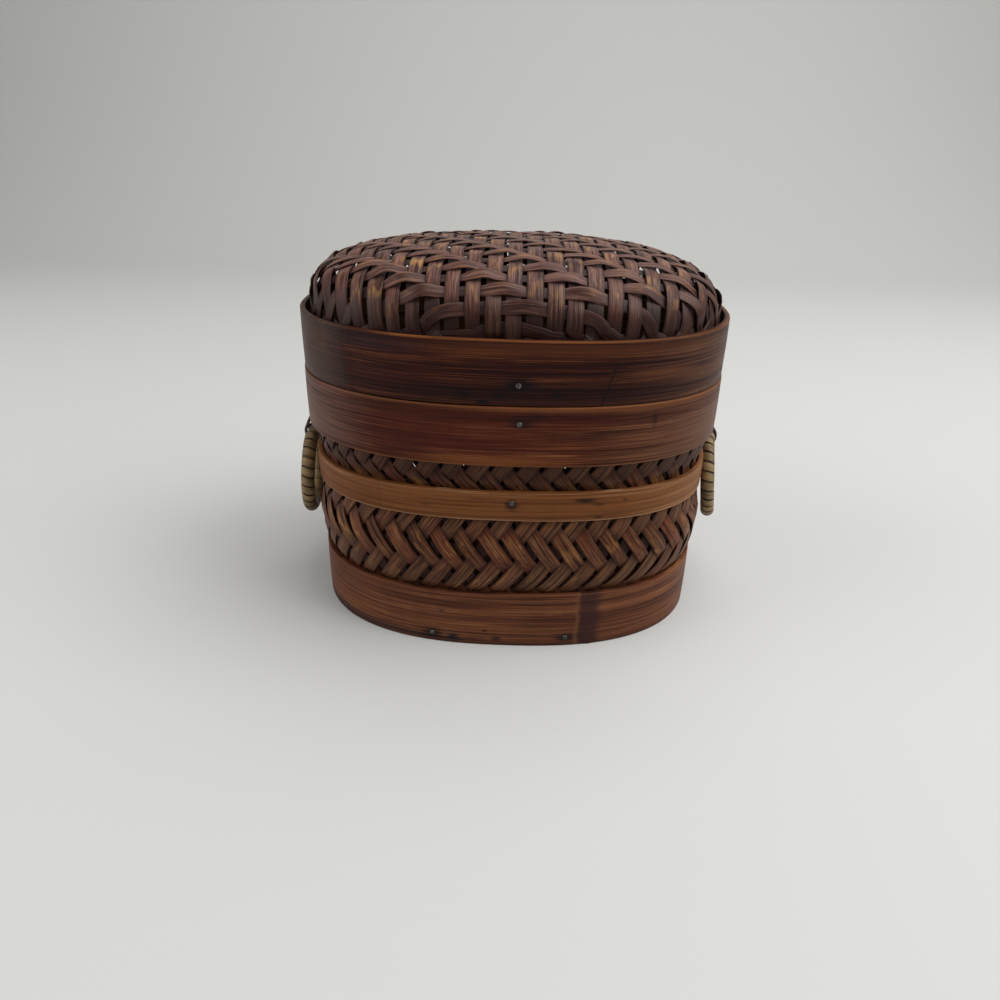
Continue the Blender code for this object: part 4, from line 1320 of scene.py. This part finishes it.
tie_finish, tree = new_material("dark cane tie")
marks = handled(tree, 3, 18.0)
colour = coat((0.022, 0.013, 0.010), (marks["Rubbed"], (0.10, 0.06, 0.035)))
surface(tie_finish, colour, 0.5, marks["Soiled"], 0.12 * MM)
print("materials", len(bpy.data.materials))

# %% Wind both rings
RING_RADIUS = 17.0 * MM
CORE_RADIUS = 2.1 * MM
CANE_THICK = 0.5 * MM
CANE_GAP = 0.25 * MM
CANE_TURNS = 27
STEPS_A_TURN = 18
BARE_ANGLE = 0.21
CANE_SPACING = RING_RADIUS * (2 * pi - 2 * BARE_ANGLE) / CANE_TURNS
RING_HANGS = {"left": (1.0 * MM, radians(-4.5), radians(4.3)),
              "right": (2.0 * MM, radians(2.5), radians(7.3))}
ends = {"left": -1, "right": 1}
hinges = {joint["name"]: joint for joint in frame["record"]["behaviour"]["joints"]}
for end, side in ends.items():
    hinge = hinges[f"handle_{end}_swing"]
    turned_round = Vector((0, -side, 0)).rotation_difference(Vector(hinge["axis"]))
    nearer, more_turn, swung_out = RING_HANGS[end]
    hang = (Matrix.Translation(Vector(hinge["pos_m"]) - Vector((side * nearer, 0, 0)))
            @ Matrix.Rotation(swung_out, 4, Vector(hinge["axis"]))
            @ Matrix.Rotation(-side * more_turn, 4, "Z")
            @ turned_round.to_matrix().to_4x4())
    bpy.ops.mesh.primitive_torus_add(major_segments=72, minor_segments=14, major_radius=RING_RADIUS,
                                     minor_radius=CORE_RADIUS)
    core = bpy.context.object
    core.name = "ring_rattan_" + end
    core.data.transform(hang @ Matrix.Translation((0, 0, -RING_RADIUS)) @ Matrix.Rotation(pi / 2, 4, "Y"))
    core.data.shade_smooth()
    core.data.materials.append(rattan)
    bound = run_tree("ring_cane_" + end, bpy.data.meshes.new("start"), winding, {
        "Ring Radius": RING_RADIUS, "Wind Radius": CORE_RADIUS + CANE_GAP + CANE_THICK / 2,
        "Turns": CANE_TURNS, "Steps": STEPS_A_TURN, "Bare Angle": BARE_ANGLE,
        "Cane Width": CANE_SPACING * 0.97, "Cane Thickness": CANE_THICK, "Material": cane})
    bound.data.transform(hang)
    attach(core, "handle_" + end)
    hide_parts("ring_core_" + end)
    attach(bound, "handle_" + end)
    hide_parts("ring_binding_" + end)
    print(end, "cane spacing mm", round(CANE_SPACING / MM, 2), "triangles", triangles(bound))

# %% [markdown]
# ### Ties
#
# A thin dark strand comes out through the plait under the rim hoop, passes round the ring and
# goes back in. Its route is a short list of points in the plane of the ring, made smooth by a
# spline, with a round bevel. The tie is loose: as a ring swings up, its bound part moves outward
# and draws the strand a few millimetres out of the plait. Here the strand's ends inside the plait
# are drawn out by a fixed share of how much nearer the box its ring hangs.

# %% Ties
TIE_HOLES = (71.0 * MM, 77.2 * MM)
TIE_THICK = 1.3 * MM
TIE_REACH = 3.4 * MM
TIE_START = 77.4 * MM
DRAWN_OUT_SHARE = 1.907


def tie_route(ring_x, top_z, inner_x, slack):
    low, high = TIE_HOLES
    keys = [(inner_x + 1.0 * MM, high - 0.6 * MM), (78.6 * MM, high), (81.2 * MM, high),
            (ring_x - 1.2 * MM, high - 1.6 * MM)]
    for degrees in range(35, -176, -30):
        angle = radians(degrees)
        height = top_z - slack / 2 + (TIE_REACH + slack / 2) * sin(angle)
        keys.append((ring_x + TIE_REACH * cos(angle), height))
    keys.append((ring_x - TIE_REACH, max(top_z, low - 1.8 * MM) + 0.4 * MM))
    return keys + [(79.9 * MM, low), (77.6 * MM, low), (inner_x + 0.4 * MM, low + 0.8 * MM),
                   (inner_x, sum(TIE_HOLES) / 2)]


for end, side in ends.items():
    x, _, top_z = hinges[f"handle_{end}_swing"]["pos_m"]
    nearer = RING_HANGS[end][0]
    ring_x = abs(x) - nearer
    drawn_out = DRAWN_OUT_SHARE * nearer
    route = tie_route(ring_x, top_z, TIE_START - drawn_out, nearer)
    curve = bpy.data.curves.new("tie", "CURVE")
    curve.dimensions = "3D"
    curve.bevel_depth = TIE_THICK / 2
    curve.bevel_resolution = 3
    curve.resolution_u = 6
    spline = curve.splines.new("NURBS")
    spline.points.add(len(route) - 1)
    for spot, (reach_out, z) in zip(spline.points, route):
        spot.co = (side * reach_out, 0, z, 1)
    spline.use_cyclic_u = True
    spline.order_u = 3
    tie = baked(new_object("tie", curve), "tie_strand_" + end)
    tie.data.shade_smooth()
    tie.data.materials.append(tie_finish)
    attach(tie, "basket")
    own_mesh(tie)
    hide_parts("handle_tie_" + end)
    print("tie", end, "drawn out mm", round(drawn_out / MM, 2), "triangles", triangles(tie))

# %% [markdown]
# ## Studio
#
# The box stands on a pale sweep under soft light. Large lamps to the left, right and above give
# the hoops' ends their sheen and leave the front deeper in colour, as in the photo.

# %% Floor and backdrop
FLOOR_FRONT = -1.6
FLOOR_BACK = 0.75
FLOOR_HALF = 2.2
BEND = 0.5
BACKDROP_TOP = 2.2
floor_line = [(FLOOR_FRONT, 0.0), (FLOOR_BACK, 0.0)]
floor_line += [(FLOOR_BACK + BEND * sin(a), BEND * (1 - cos(a))) for a in np.linspace(0, pi / 2, 13)[1:]]
floor_line += [(FLOOR_BACK + BEND, BACKDROP_TOP)]
floor_faces = [(2 * k, 2 * k + 1, 2 * k + 3, 2 * k + 2) for k in range(len(floor_line) - 1)]
floor_points = [(x, y, z) for y, z in floor_line for x in (-FLOOR_HALF, FLOOR_HALF)]
floor_mesh = new_mesh("floor", floor_points, floor_faces)
floor_mesh.shade_smooth()
floor = new_object("floor", floor_mesh)
pale, tree = new_material("pale paper")
feed(tree.nodes["Principled BSDF"], {"Base Color": (0.60, 0.60, 0.585, 1), "Roughness": 0.9})
floor_mesh.materials.append(pale)
floor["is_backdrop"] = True
print("floor reaches", floor_line[0][0], floor_line[-1])

# %% Lights
def soft_lamp(name, place, aim, size, power):
    data = bpy.data.lights.new(name, "AREA")
    data.shape = "RECTANGLE"
    data.size, data.size_y = size
    data.energy = power
    lamp = new_object(name, data)
    lamp.location = place
    lamp.rotation_euler = (Vector(aim) - Vector(place)).to_track_quat("-Z", "Y").to_euler()


soft_lamp("top lamp", (0.35, 0.10, 1.15), (0, 0, 0.1), (1.3, 1.1), 8.6)
soft_lamp("left lamp", (-1.0, -0.25, 0.55), (0, 0, 0.08), (0.8, 1.0), 5.2)
soft_lamp("right lamp", (0.95, -0.25, 0.95), (0, 0, 0.08), (1.0, 1.2), 11.0)
soft_lamp("front lamp", (0.1, -1.2, 0.9), (0, 0, 0.08), (0.8, 0.6), 0.95)

world = bpy.data.worlds.new("studio")
scene.world = world
world.use_nodes = True
rays = add(world.node_tree, "ShaderNodeLightPath").outputs
seen = calc("MAXIMUM", rays["Is Camera Ray"], rays["Is Transmission Ray"])
feed(world.node_tree.nodes["Background"],
     {"Color": (1.0, 0.99, 0.97, 1), "Strength": between(seen, 0.0, 1.0, 0.24, 0.62)})
print("lamps", len(bpy.data.lights))

# %% [markdown]
# ## Close
#
# The visual model's box is worked out and printed. The visual model has to stay in the
# imported model's box.

# %% Sizes and finish
low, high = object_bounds()
print("visual box mm", [round(v / MM, 1) for v in (*low, *high)])
